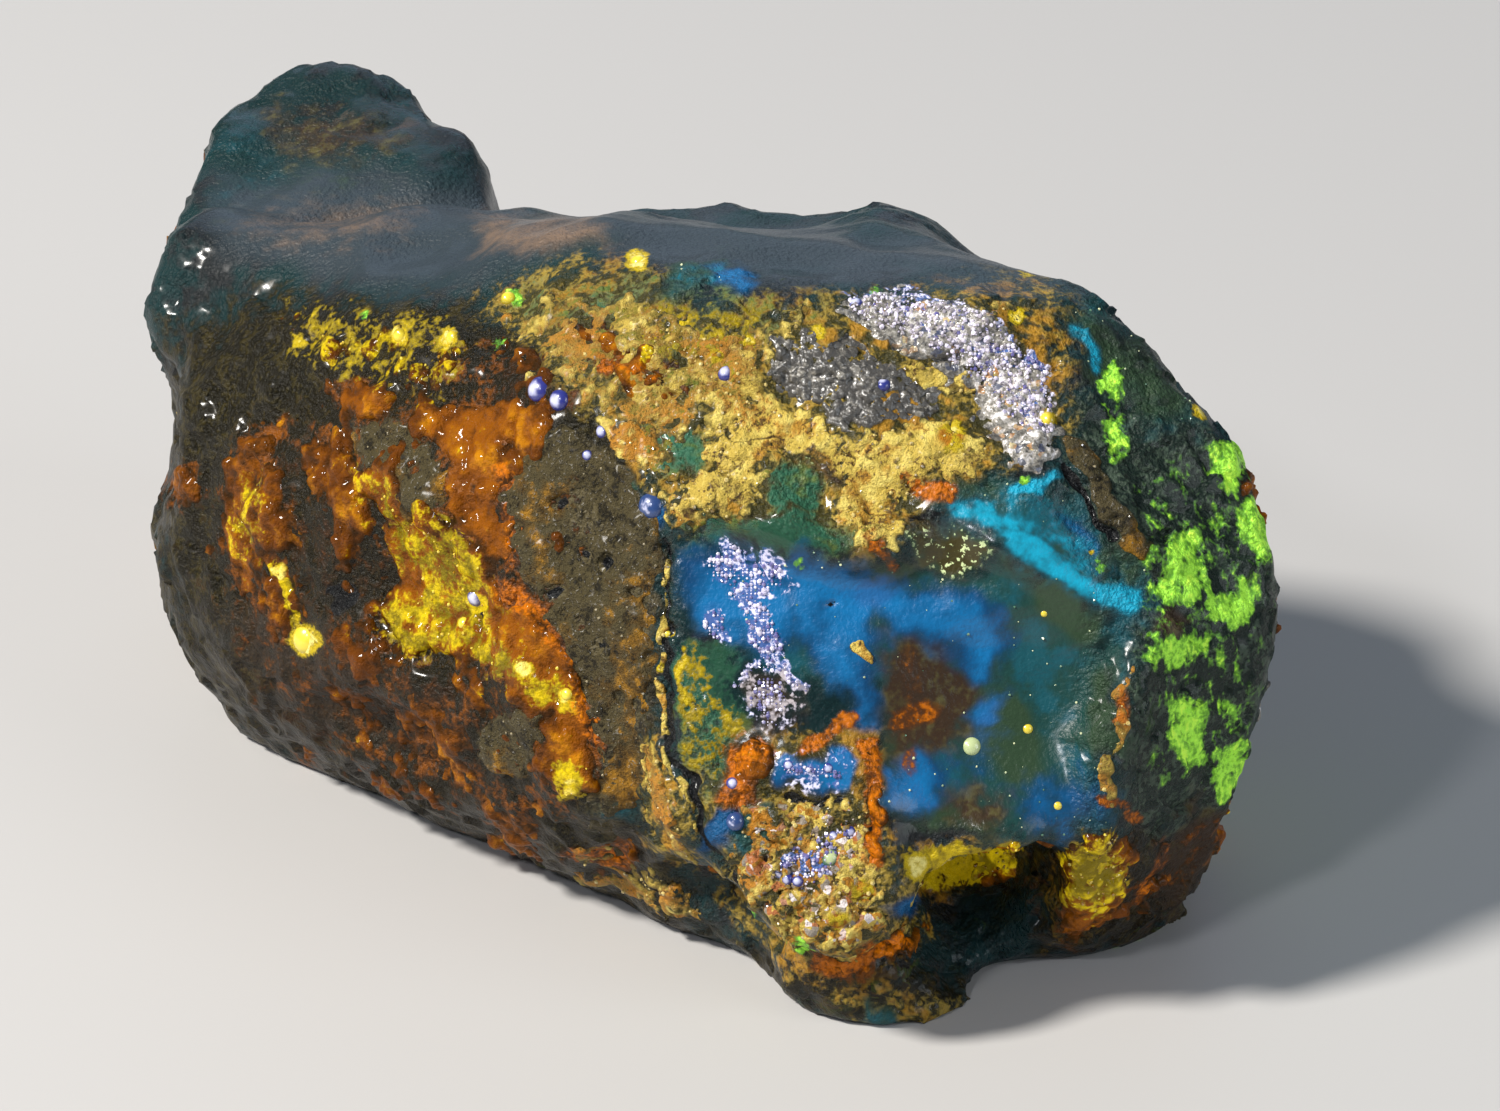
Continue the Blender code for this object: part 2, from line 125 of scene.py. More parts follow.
# Each patch: its name, how strongly it shows, how soft its edge is, and its outline.
PATCHES = {
    "crust": (
        ("right lobe over the ledge", 1.0, 14, ((812, 452), (850, 436), (905, 430), (950, 424), (972, 436),
            (984, 456), (972, 478), (930, 482), (914, 505), (906, 536), (890, 546), (862, 540), (836, 512),
            (842, 486), (826, 470))),
        ("middle band", 1.0, 18, ((700, 440), (716, 408), (748, 396), (790, 402), (830, 424), (850, 440),
            (806, 458), (764, 470), (742, 504), (722, 520), (704, 484))),
        ("left lobe", 0.95, 16, ((668, 500), (680, 470), (704, 462), (722, 490), (716, 520), (694, 534),
            (672, 526))),
        ("mixed upper crust", 0.71, 30, ((500, 310), (560, 286), (640, 290), (700, 316), (830, 312),
            (780, 350), (760, 400), (700, 424), (664, 470), (640, 460), (596, 410), (545, 372),
            (510, 350))),
        ("upper crust, right", 0.85, 18, ((690, 380), (730, 350), (768, 350), (770, 400), (720, 416))),
        ("patch between the beads", 0.95, 12, ((598, 424), (640, 420), (658, 440), (644, 460), (612, 456))),
        ("pink patch in the grains", 0.9, 10, ((888, 360), (930, 355), (972, 366), (975, 388), (930, 396),
            (892, 382))),
        ("chin", 0.9, 18, ((768, 800), (800, 796), (850, 798), (872, 820), (884, 868), (874, 905),
            (900, 926), (868, 950), (836, 960), (796, 948), (760, 908), (732, 872), (740, 840))),
        ("front foot", 0.6, 20, ((822, 985), (870, 992), (940, 1002), (950, 1022), (890, 1032),
            (840, 1016))),
        ("strip beside the seam", 0.95, 8, ((638, 748), (656, 742), (668, 790), (690, 838), (700, 866),
            (676, 850), (648, 812))),
        ("low left flank", 0.6, 20, ((560, 842), (620, 846), (690, 888), (740, 936), (690, 930),
            (590, 896))),
        ("top lip", 0.6, 14, ((960, 296), (1010, 304), (1030, 320), (1000, 326), (960, 312))),
    ),
    "coarse": (
        ("chin", 1.0, 20, ((740, 800), (870, 790), (884, 900), (900, 930), (836, 966), (760, 920),
            (726, 850))),
        ("mixed upper crust", 0.5, 30, ((490, 300), (560, 270), (700, 290), (720, 400), (650, 430),
            (520, 360))),
    ),
    "druse": (
        ("dark grains", 1.0, 12, ((770, 338), (800, 330), (850, 336), (900, 362), (940, 396), (920, 420),
            (880, 430), (840, 424), (804, 404), (776, 380))),
        ("pale grains", 1.0, 14, ((846, 306), (880, 290), (930, 300), (985, 318), (1020, 350), (1050, 400),
            (1056, 444), (1044, 472), (1010, 458), (985, 436), (968, 396), (930, 360), (880, 346))),
    ),
    "pale": (
        ("pale grains", 1.0, 40, ((850, 296), (900, 290), (985, 318), (1040, 370), (1060, 440), (1044, 476),
            (1010, 458), (985, 420), (960, 360), (900, 330))),
    ),
    # Glitter: pale lilac flecks painted where glints of light lie, a painted reflection.
    "glitter": (
        ("glitter on the window, upper", 0.86, 16, ((706, 562), (724, 546), (758, 548), (786, 562),
            (788, 584), (764, 598), (738, 594), (716, 582))),
        ("glitter on the window, lower", 0.66, 16, ((748, 684), (762, 668), (788, 672), (798, 700),
            (788, 732), (764, 728), (748, 706))),
        ("glitter on the chin window", 0.46, 14, ((772, 758), (800, 748), (850, 758), (852, 790),
            (776, 790))),
        ("glitter on the chin", 0.8, 10, ((772, 860), (800, 840), (850, 826), (866, 846), (820, 880),
            (790, 892))),
        ("glitter round the grains", 0.9, 14, ((846, 300), (900, 290), (985, 316), (1040, 370), (1050, 430),
            (1020, 430), (985, 380), (930, 340), (870, 326))),
    ),
    "skin": (
        ("grey flank", 1.0, 16, ((518, 440), (560, 426), (606, 452), (642, 492), (656, 524), (652, 600),
            (648, 680), (642, 740), (634, 800), (612, 846), (594, 820), (596, 740), (575, 672), (548, 620),
            (524, 556), (508, 500))),
        ("upper grey oval", 1.0, 14, ((346, 430), (390, 420), (424, 424), (440, 470), (444, 508),
            (412, 512), (392, 480), (360, 462))),
        ("lower grey oval", 1.0, 8, ((480, 728), (504, 708), (534, 716), (542, 748), (524, 778), (496, 776),
            (478, 752))),
        ("straight strip", 0.85, 7, ((1062, 436), (1080, 440), (1154, 552), (1146, 566), (1126, 556))),
    ),
    "amber": (
        ("whole flank", 0.45, 40, ((240, 400), (400, 380), (560, 400), (600, 560), (600, 820), (520, 860),
            (380, 800), (260, 740), (200, 620), (200, 480))),
        ("upper left blob", 1.0, 16, ((330, 388), (360, 374), (392, 382), (390, 412), (352, 422),
            (330, 408))),
        ("left lobe", 0.8, 22, ((256, 420), (288, 414), (290, 470), (280, 540), (268, 600), (232, 600),
            (214, 556), (222, 480), (240, 440))),
        ("middle", 0.5, 26, ((290, 430), (344, 430), (392, 480), (420, 520), (400, 566), (352, 560),
            (310, 520), (290, 470))),
        ("right strand", 1.0, 14, ((416, 404), (446, 398), (470, 404), (520, 396), (556, 420), (546, 452),
            (504, 446), (498, 480), (520, 530), (518, 566), (484, 566), (448, 520), (440, 460))),
        ("slanting strand", 1.0, 16, ((346, 466), (386, 460), (420, 500), (470, 540), (505, 590),
            (560, 640), (592, 700), (596, 790), (560, 800), (546, 720), (510, 700), (470, 660), (410, 650),
            (376, 620), (400, 570), (370, 510))),
        ("lower ring", 0.66, 20, ((392, 672), (440, 664), (500, 690), (486, 712), (474, 756), (500, 786),
            (545, 782), (560, 800), (542, 866), (500, 852), (470, 800), (410, 792), (388, 740))),
        ("far left", 0.75, 20, ((156, 470), (190, 462), (210, 486), (196, 512), (160, 504))),
        ("low left", 0.62, 14, ((292, 744), (322, 742), (328, 772), (300, 778))),
        ("upper band", 0.55, 26, ((286, 306), (340, 310), (400, 318), (470, 326), (540, 356), (600, 396),
            (560, 440), (500, 410), (400, 390), (300, 360))),
        ("orange streaks on top", 0.66, 16, ((548, 306), (598, 314), (650, 340), (690, 350), (690, 410),
            (620, 400), (584, 364), (556, 334))),
        ("chin, left", 0.95, 12, ((722, 772), (730, 750), (748, 738), (764, 748), (770, 770), (766, 792),
            (754, 810), (736, 808), (724, 792))),
        ("right edge of the chin", 0.8, 8, ((858, 742), (878, 744), (884, 800), (884, 860), (868, 860),
            (864, 800))),
        ("lip of the chin", 0.8, 9, ((806, 952), (850, 962), (892, 940), (926, 926), (924, 944), (870, 980),
            (826, 980))),
        ("right foot", 0.92, 20, ((1056, 858), (1084, 842), (1114, 830), (1140, 842), (1132, 880),
            (1106, 926), (1062, 952))),
        ("under the window", 0.92, 14, ((958, 850), (1026, 840), (1030, 862), (1000, 884), (962, 892))),
        ("behind the right foot", 0.48, 26, ((1150, 870), (1186, 812), (1236, 800), (1240, 850),
            (1200, 890), (1150, 930), (1120, 940))),
        ("low end of the flank", 0.8, 12, ((572, 842), (636, 840), (640, 866), (590, 872))),
        ("right shoulder", 0.6, 12, ((1244, 456), (1262, 462), (1264, 490), (1248, 492))),
    ),
    "yellow": (
        ("slanting core", 0.62, 20, ((346, 468), (384, 466), (420, 506), (470, 552), (500, 600), (520, 650),
            (572, 670), (590, 716), (540, 712), (500, 684), (470, 660), (410, 656), (378, 622), (410, 580),
            (380, 520))),
        ("slanting core, bright", 0.8, 12, ((420, 520), (446, 522), (490, 580), (500, 612), (470, 600),
            (430, 560))),
        ("middle blob", 0.78, 14, ((386, 600), (420, 586), (440, 612), (436, 650), (400, 650), (380, 628))),
        ("right strand", 0.72, 10, ((512, 652), (548, 676), (588, 690), (584, 716), (540, 706),
            (512, 680))),
        ("upper band", 0.52, 24, ((286, 300), (320, 300), (470, 322), (480, 360), (440, 396), (390, 386),
            (330, 380), (292, 356))),
        ("left lobe", 0.6, 18, ((240, 480), (262, 470), (262, 560), (240, 570), (230, 520))),
        ("low tip", 0.85, 8, ((552, 772), (584, 768), (590, 798), (560, 802))),
        ("under the window", 0.98, 12, ((902, 856), (934, 850), (1026, 842), (1024, 862), (962, 890),
            (932, 884))),
        ("right foot", 1.0, 16, ((1066, 850), (1112, 834), (1124, 880), (1092, 912), (1066, 900))),
        ("left rim of the window", 0.52, 12, ((676, 640), (700, 640), (738, 700), (742, 740), (716, 800),
            (694, 800), (680, 720))),
        ("top", 0.5, 20, ((600, 290), (700, 300), (770, 310), (770, 350), (740, 380), (640, 350))),
    ),
    "green": (
        ("between crust and window", 0.9, 20, ((690, 520), (744, 506), (812, 500), (836, 520), (860, 544),
            (812, 556), (740, 546), (692, 552))),
        ("left of the window", 0.8, 24, ((672, 630), (740, 630), (752, 700), (744, 760), (700, 800),
            (678, 720))),
        ("upper crust", 0.42, 30, ((480, 290), (640, 256), (840, 300), (780, 350), (700, 420), (600, 400))),
        ("lens in the crust", 0.9, 12, ((764, 500), (780, 476), (806, 466), (822, 474), (820, 500),
            (790, 510))),
        ("dark olive patch", 0.8, 12, ((646, 424), (690, 418), (700, 440), (690, 470), (656, 466))),
        ("speckled patch", 1.0, 10, ((906, 530), (944, 522), (990, 538), (996, 560), (950, 572),
            (910, 560))),
    ),
    "teal": (
        ("window, whole", 0.84, 24, ((676, 545), (860, 550), (1000, 560), (1120, 610), (1120, 700),
            (1112, 830), (1020, 845), (880, 820), (870, 700), (760, 660), (680, 620))),
        ("window, right", 1.0, 30, ((1000, 560), (1060, 576), (1120, 610), (1120, 700), (1112, 780),
            (1040, 800), (1002, 760), (1006, 690), (996, 620))),
        ("above the ridge", 1.0, 16, ((944, 486), (1000, 476), (1050, 486), (1060, 520), (1010, 520),
            (952, 508))),
        ("behind the ridge", 0.95, 20, ((944, 486), (1050, 480), (1110, 530), (1150, 590), (1120, 616),
            (1060, 580), (1000, 540))),
        ("right shoulder", 0.8, 30, ((1060, 300), (1100, 290), (1180, 380), (1200, 420), (1150, 440),
            (1090, 380))),
        ("left rim bead", 1.0, 10, ((620, 476), (640, 470), (660, 500), (650, 524), (630, 510))),
        ("chin bead", 1.0, 8, ((742, 820), (762, 816), (768, 840), (752, 858), (736, 846))),
        ("front foot", 0.9, 10, ((856, 1006), (900, 1008), (904, 1030), (860, 1030))),
        ("top window", 1.0, 16, ((660, 284), (686, 262), (716, 260), (716, 300), (676, 302))),
        ("low flank", 0.8, 14, ((596, 792), (634, 788), (636, 830), (604, 832))),
        ("far knob", 0.4, 40, ((180, 100), (420, 90), (470, 180), (200, 230))),
    ),
    "blue": (
        ("window, left", 1.0, 24, ((676, 552), (704, 544), (780, 546), (808, 590), (800, 640), (764, 652),
            (726, 644), (698, 632), (680, 606))),
        ("window, middle", 1.0, 20, ((776, 552), (820, 550), (864, 562), (890, 590), (888, 624), (878, 650),
            (868, 690), (872, 734), (848, 722), (830, 676), (800, 640), (776, 612))),
        ("window, right lobe", 1.0, 22, ((870, 578), (910, 580), (950, 580), (988, 600), (1008, 634),
            (1000, 662), (984, 682), (966, 668), (948, 652), (916, 642), (886, 634))),
        ("window, right spot", 0.9, 16, ((978, 690), (1004, 682), (1002, 716), (984, 734), (970, 716))),
        ("window, low", 0.95, 18, ((884, 768), (906, 760), (932, 752), (952, 764), (946, 790), (914, 814),
            (886, 814))),
        ("window, low arc", 0.56, 26, ((950, 756), (990, 720), (1010, 734), (1000, 776), (956, 790))),
        ("window, lowest", 0.72, 26, ((1006, 780), (1060, 766), (1116, 772), (1110, 822), (1064, 842),
            (1018, 830))),
        ("chin window", 1.0, 8, ((772, 768), (786, 754), (812, 763), (836, 752), (850, 766), (846, 784),
            (822, 793), (800, 787), (780, 792))),
        ("top window", 0.9, 14, ((702, 266), (744, 262), (762, 286), (742, 300), (706, 296))),
        ("below the chin", 0.85, 10, ((882, 896), (906, 888), (926, 896), (920, 914), (890, 918))),
        ("chin spot", 0.9, 8, ((706, 836), (720, 810), (746, 808), (748, 830), (724, 860), (704, 858))),
        ("beside the ridge", 0.8, 12, ((1056, 520), (1084, 516), (1116, 552), (1104, 570), (1072, 552))),
    ),
    "brown": (
        ("window, brown depth", 1.0, 26, ((872, 664), (890, 642), (930, 636), (964, 654), (980, 690),
            (972, 734), (934, 760), (896, 764), (876, 730))),
        ("window, grey depth", 0.9, 26, ((934, 790), (980, 780), (1012, 800), (1004, 824), (950, 822))),
        ("speckled patch", 0.85, 20, ((898, 520), (938, 510), (986, 528), (1008, 552), (984, 572),
            (940, 580), (908, 562))),
        ("right foot", 0.9, 20, ((1150, 880), (1190, 806), (1240, 806), (1240, 850), (1200, 888),
            (1160, 926))),
        ("under the lower glitter", 0.7, 12, ((744, 680), (762, 660), (792, 666), (806, 700), (790, 740),
            (760, 732))),
        ("crescent in the crust", 0.9, 9, ((792, 474), (808, 456), (836, 458), (848, 486), (838, 492),
            (824, 476), (806, 472))),
        ("red-brown patch", 1.0, 10, ((1156, 612), (1180, 606), (1190, 622), (1172, 638), (1156, 632))),
        ("far knob", 0.8, 30, ((250, 110), (370, 110), (400, 150), (280, 160))),
        ("flank", 0.6, 40, ((280, 580), (400, 640), (400, 760), (300, 760), (220, 680), (220, 600))),
    ),
    "cyan": (
        ("above the ridge", 0.64, 26, ((946, 492), (1010, 482), (1066, 510), (1112, 552), (1144, 592),
            (1120, 616), (1070, 594), (1010, 546))),
        ("top window", 0.64, 16, ((662, 280), (690, 264), (722, 262), (714, 296), (680, 298))),
    ),
    "lime": (
        ("upper right", 1.0, 9, ((1212, 440), (1238, 434), (1248, 464), (1240, 494), (1218, 490),
            (1206, 464))),
        ("right edge", 0.9, 9, ((1244, 500), (1262, 492), (1280, 520), (1274, 552), (1256, 556),
            (1234, 524))),
        ("middle, left stroke", 1.0, 8, ((1152, 590), (1168, 560), (1176, 530), (1200, 524), (1204, 560),
            (1200, 600), (1160, 612))),
        ("middle, right stroke", 1.0, 8, ((1200, 566), (1216, 596), (1236, 588), (1242, 574), (1258, 580),
            (1260, 608), (1238, 628), (1210, 620), (1198, 598))),
        ("lower, right", 1.0, 8, ((1212, 752), (1234, 742), (1248, 740), (1247, 780), (1228, 800),
            (1214, 782))),
        ("specks", 0.78, 14, ((1140, 660), (1150, 630), (1200, 630), (1212, 650), (1180, 676),
            (1150, 672))),
        ("lower, left", 0.92, 10, ((1170, 700), (1190, 696), (1214, 716), (1214, 768), (1190, 764),
            (1172, 740))),
        ("lower, top", 0.8, 8, ((1218, 700), (1240, 704), (1240, 734), (1220, 730))),
        ("sparse flecks", 0.3, 30, ((1120, 480), (1200, 430), (1270, 470), (1280, 600), (1250, 800),
            (1150, 800), (1130, 640))),
        ("shoulder", 1.0, 7, ((1098, 384), (1108, 368), (1122, 364), (1122, 384), (1108, 394))),
        ("shoulder specks", 0.75, 12, ((1092, 400), (1120, 396), (1128, 452), (1108, 460))),
    ),
    # The sheen lies on the smooth top; its colour is partly the glass's milkiness and partly a painted
    # reflection of sky.
    "sheen": (
        ("smooth top", 1.0, 34, ((205, 180), (330, 160), (470, 175), (540, 200), (800, 218), (1000, 240),
            (1080, 280), (1000, 286), (900, 276), (830, 290), (700, 262), (640, 250), (560, 254),
            (480, 286), (400, 296), (300, 276), (230, 250))),
    ),
    "rose": (
        ("streak on top", 1.0, 26, ((478, 222), (540, 212), (604, 222), (606, 246), (540, 252),
            (480, 246))),
        ("far left of the top", 0.6, 30, ((230, 216), (330, 196), (420, 206), (400, 240), (260, 248))),
    ),
    # Olive: the dark olive glass of the left flank and the feet, darkened further as painted shade.
    "olive": (
        ("left flank", 1.0, 40, ((170, 330), (280, 290), (480, 300), (560, 340), (640, 440), (664, 520),
            (650, 640), (655, 830), (720, 960), (560, 900), (300, 800), (170, 680), (140, 520))),
        ("feet", 1.0, 24, ((700, 930), (830, 960), (960, 980), (970, 1040), (860, 1040), (760, 990))),
        ("right foot", 0.9, 24, ((1040, 850), (1240, 800), (1240, 880), (1130, 950), (1040, 960))),
    ),
    "mustard": (
        ("crust band", 1.0, 22, ((480, 300), (560, 262), (640, 262), (700, 306), (840, 300), (960, 290),
            (1040, 310), (1066, 420), (1000, 470), (930, 520), (870, 556), (690, 545), (640, 470),
            (590, 410))),
        ("chin", 1.0, 18, ((690, 700), (740, 730), (880, 730), (890, 860), (930, 930), (860, 985),
            (790, 970), (730, 900), (690, 810))),
        ("strip beside the seam", 1.0, 12, ((640, 740), (660, 740), (700, 860), (680, 870), (640, 820))),
        ("top lip", 0.7, 24, ((930, 282), (1050, 262), (1090, 320), (1060, 400), (1030, 340))),
        ("right foot", 0.75, 20, ((1050, 870), (1080, 840), (1120, 836), (1130, 880), (1100, 930),
            (1056, 950))),
        ("front foot", 0.75, 20, ((820, 985), (900, 990), (960, 1005), (950, 1030), (860, 1030))),
        ("under the window", 0.9, 12, ((890, 850), (1030, 836), (1030, 866), (960, 896), (900, 900))),
    ),
    "rusty": (
        ("mixed upper crust", 0.9, 30, ((480, 300), (560, 270), (700, 290), (780, 320), (770, 400),
            (700, 420), (640, 470), (580, 410), (520, 360))),
        ("left lobe", 0.6, 20, ((664, 500), (680, 464), (712, 462), (716, 530), (680, 536))),
        ("strip beside the seam", 0.95, 14, ((636, 740), (664, 740), (704, 866), (680, 866), (640, 820))),
        ("right rim", 0.95, 12, ((1100, 660), (1150, 660), (1140, 760), (1120, 810), (1096, 800))),
        ("low left flank", 0.95, 20, ((540, 830), (700, 870), (750, 940), (590, 910))),
        ("chin", 0.72, 24, ((720, 740), (800, 800), (860, 880), (840, 960), (780, 950), (730, 890))),
        ("feet", 0.9, 24, ((820, 980), (960, 990), (960, 1040), (830, 1030))),
        ("top lip", 0.7, 20, ((950, 290), (1040, 296), (1040, 330), (960, 320))),
    ),
    "slate": (
        ("right flank", 1.0, 30, ((1060, 400), (1120, 380), (1190, 410), (1280, 470), (1290, 620),
            (1250, 820), (1160, 840), (1120, 800), (1130, 620), (1080, 520))),
    ),
    "gloss": (
        ("window", 1.0, 14, ((672, 540), (760, 512), (840, 540), (900, 560), (950, 500), (1050, 500),
            (1100, 590), (1082, 700), (1084, 820), (1020, 838), (880, 820), (870, 740), (800, 740),
            (740, 740), (676, 660))),
        ("top", 0.45, 30, ((190, 90), (330, 60), (470, 150), (560, 205), (800, 215), (1000, 240),
            (1080, 280), (1000, 290), (830, 290), (700, 262), (560, 254), (480, 290), (400, 300),
            (300, 280), (200, 300))),
        ("chin window", 1.0, 6, ((770, 756), (800, 748), (848, 758), (852, 790), (810, 796), (774, 788))),
    ),
    # Dark: near-black that is painted shade in the hollow under the ledge, the pit and the seam, and the
    # glass's own dark beside the blue tongue.
    "dark": (
        ("hollow under the ledge", 0.72, 14, ((906, 506), (930, 500), (954, 506), (940, 524), (908, 524))),
        ("dark glass left of the blue tongue", 0.46, 26, ((798, 650), (816, 648), (834, 690), (838, 720),
            (806, 716))),
        ("pit in the flank", 1.0, 8, ((440, 592), (464, 594), (488, 616), (496, 634), (470, 640),
            (446, 616))),
        ("seam", 0.8, 4, ((662, 520), (669, 540), (667, 640), (672, 720), (700, 812), (742, 894),
            (738, 898), (694, 824), (664, 730), (659, 640))),
    ),
}

# Each streak: its name, how strongly it shows, its half width, and the points along it.
STREAKS = {
    # Glitter streaks: pale flecks painted where glints of light lie.
    "glitter": (
        ("down the window", 0.9, 12, ((742, 592), (756, 616), (772, 646))),
        ("left of the window", 0.8, 10, ((710, 616), (720, 636))),
        ("arc over the lower glitter", 0.62, 5, ((744, 680), (760, 662), (786, 664), (802, 688))),
    ),
    "crust": (
        ("golden edge of the seam", 0.66, 4, ((664, 560), (658, 640), (660, 700), (672, 768), (698, 830))),
        ("right rim", 0.74, 7, ((1130, 676), (1118, 716), (1112, 760), (1110, 802))),
        ("pale streaks in the crust", 0.9, 5, ((700, 452), (722, 440), (738, 418))),
        ("tan fleck in the window", 0.8, 4, ((861, 644), (864, 656), (870, 666))),
    ),
    "cyan": (
        ("ridge, glow", 0.44, 28, ((950, 506), (1000, 526), (1050, 562), (1100, 590), (1140, 606))),
        ("ridge, upper", 0.78, 13, ((956, 508), (1000, 524), (1030, 544))),
        ("ridge, lower", 0.9, 16, ((1020, 540), (1062, 572), (1100, 592), (1132, 604))),
        ("ridge, crest", 1.0, 8, ((1040, 556), (1066, 574), (1098, 590))),
        ("shoulder", 0.8, 9, ((1076, 328), (1096, 346), (1100, 362))),
        ("beside the shoulder bead", 0.9, 8, ((1058, 470), (1040, 484), (1010, 492))),
    ),
    "ember": (
        ("spot in the brown depth", 0.66, 14, ((900, 722), (930, 708))),
        ("low spot in the brown depth", 0.52, 9, ((914, 756), (910, 766))),
        ("glow over the spot", 0.4, 14, ((908, 660), (914, 700))),
        ("left of the chin", 1.0, 20, ((734, 790), (736, 762), (752, 752))),
        ("arc over the chin window", 0.85, 9, ((806, 750), (826, 740), (840, 722), (852, 720))),
        ("right edge of the chin", 0.9, 10, ((866, 748), (874, 800), (874, 856))),
        ("lip of the chin", 0.95, 11, ((820, 968), (862, 960), (900, 944))),
        ("ledge", 0.7, 7, ((868, 540), (884, 556), (890, 566))),
        ("crust", 0.9, 11, ((906, 478), (930, 492), (948, 490))),
        ("flank edge, upper", 0.75, 12, ((500, 470), (516, 510), (520, 560))),
        ("flank edge, lower", 0.8, 13, ((506, 588), (548, 630), (580, 680), (594, 740))),
        ("low flank", 0.8, 9, ((575, 850), (620, 852))),
        ("right rim", 0.8, 7, ((1128, 690), (1118, 720))),
        ("right rim, low", 0.7, 6, ((1106, 796), (1130, 804), (1142, 820))),
        ("top streak", 0.7, 9, ((596, 366), (640, 372), (660, 384))),
        ("far right of the foot", 0.6, 9, ((1140, 900), (1160, 876), (1164, 850))),
    ),
    "yellow": (
        ("stroke on the flank", 0.9, 5, ((277, 560), (286, 600), (296, 628))),
        ("top stroke", 0.8, 5, ((690, 330), (664, 346), (640, 356))),
        ("left rim of the window", 0.9, 5, ((682, 652), (686, 690), (694, 706))),
    ),
    # Dark streaks: painted shade in the groove and the crack.
    "dark": (
        ("groove beside the strip", 1.0, 4, ((1062, 456), (1090, 506), (1118, 544))),
        ("crack across the chin", 0.9, 5, ((786, 800), (816, 800), (842, 796))),
    ),
}

# Each spot: its name, how strongly it shows, its place and its radius.
SPOTS = {
    # Gleam: yellow drops whose pale-gold middles are partly a painted glint.
    "gleam": (
        ("flank drop", 1.0, (304, 640), 17), ("flank drop's tip", 0.9, (281, 570), 8),
        ("pit in the flank", 0.9, (480, 602), 12), ("upper band, left", 0.8, (299, 340), 9),
        ("upper band, middle", 0.9, (399, 337), 11), ("upper band, right", 0.9, (450, 338), 12),
        ("top rim, middle", 1.0, (637, 259), 13), ("top", 0.8, (715, 357), 8),
        ("top, right", 0.8, (748, 341), 8), ("grains, orange", 0.8, (816, 333), 10),
        ("top lip", 0.9, (1018, 314), 11), ("top bump", 0.8, (1030, 264), 15),
        ("beside the grains, upper", 0.9, (1026, 391), 9),
        ("beside the grains, lower", 1.0, (1044, 419), 13), ("shoulder", 0.8, (1200, 411), 10),
        ("lump on the crust", 0.9, (952, 437), 17), ("ridge", 0.8, (1092, 554), 4),
        ("left rim, upper", 0.9, (667, 632), 6), ("left rim, lower", 0.9, (660, 668), 6),
        ("chin, right lump", 0.9, (862, 890), 12), ("chin, low lump", 0.9, (838, 920), 12),
        ("below the window", 1.0, (917, 866), 15), ("strand, upper", 0.8, (462, 622), 7),
        ("strand, lower", 0.8, (524, 668), 9), ("strand, low tip", 0.9, (572, 786), 9),
        ("strand, right", 0.8, (566, 694), 8),
    ),
    "lime": (
        ("upper band, far right", 0.8, (493, 347), 6), ("top rim, left", 0.9, (509, 297), 8),
        ("over the grains", 1.0, (875, 295), 8), ("below the grains", 0.9, (1026, 481), 6),
        ("green, small", 0.8, (805, 562), 4), ("chin dot", 1.0, (802, 947), 8),
        ("shoulder, low", 0.8, (1104, 566), 6), ("flank, small", 0.7, (368, 318), 6),
    ),
    # Dark spots: painted shade in the pits of the skin, the chin and the flank, and a dark dot in the window.
    "dark": (
        ("pit in the skin", 1.0, (554, 592), 8), ("pit in the skin, upper", 1.0, (608, 562), 7),
        ("pit in the skin, small", 1.0, (583, 552), 5), ("pit in the skin, low", 0.9, (600, 640), 5),
        ("pit in the skin, left", 0.9, (560, 500), 5), ("pit in the skin, right", 0.9, (636, 588), 5),
        ("chin, upper pit", 1.0, (812, 838), 6), ("chin, left pit", 1.0, (764, 862), 6),
        ("chin, low pit", 1.0, (826, 902), 7), ("chin, right pit", 1.0, (874, 836), 6),
        ("window", 0.8, (832, 600), 4), ("flank, left pit", 0.9, (345, 600), 16),
    ),
    "blue": (
        ("beside the chin", 0.9, (905, 902), 18), ("round the seam bead", 1.0, (647, 506), 20),
    ),
}

# Each bead: its name, its place in the picture, its radius in points of it, and its kind.
BEADS = (
    ("upper pair, left", (535, 389), 14, "glass"), ("upper pair, right", (556, 401), 12, "glass"),
    ("between the patches", (601, 431), 8, "glass"), ("small, below", (587, 455), 6, "glass"),
    ("at the seam", (649, 506), 15, "blue glass"), ("at the crust", (725, 372), 9, "glass"),
    ("in the grains", (882, 382), 8, "glass"), ("over the grains", (855, 302), 8, "glass"),
    ("flank drop", (304, 640), 17, "gold glass"), ("flank pit", (474, 598), 10, "glass"),
    ("window, pale", (972, 746), 11, "pale glass"), ("window, upper", (1028, 729), 6, "gold glass"),
    ("window, lower", (1058, 806), 5, "gold glass"), ("window, small", (1044, 614), 4, "gold glass"),
    ("strand, upper", (462, 622), 7, "gold glass"), ("strand, lower", (566, 694), 7, "gold glass"),
    ("upper band, right", (450, 338), 9, "gold glass"), ("left rim", (667, 634), 4, "gold glass"),
    ("chin, left", (732, 783), 7, "glass"), ("chin window, left", (788, 765), 6, "glass"),
    ("chin window, right", (828, 768), 6, "glass"), ("chin, green", (830, 857), 10, "green glass"),
    ("chin, right pair, left", (833, 836), 6, "glass"), ("chin, right pair, right", (851, 832), 6, "glass"),
    ("chin, low pair, left", (786, 880), 6, "glass"), ("chin, low pair, right", (797, 881), 6, "glass"),
    ("top rim", (637, 259), 9, "gold glass"), ("top rim, left", (509, 297), 8, "gold glass"),
    ("beside the grains", (1044, 419), 9, "gold glass"), ("upper band", (399, 337), 8, "gold glass"),
    ("chin, blue", (733, 822), 10, "blue glass"),
)

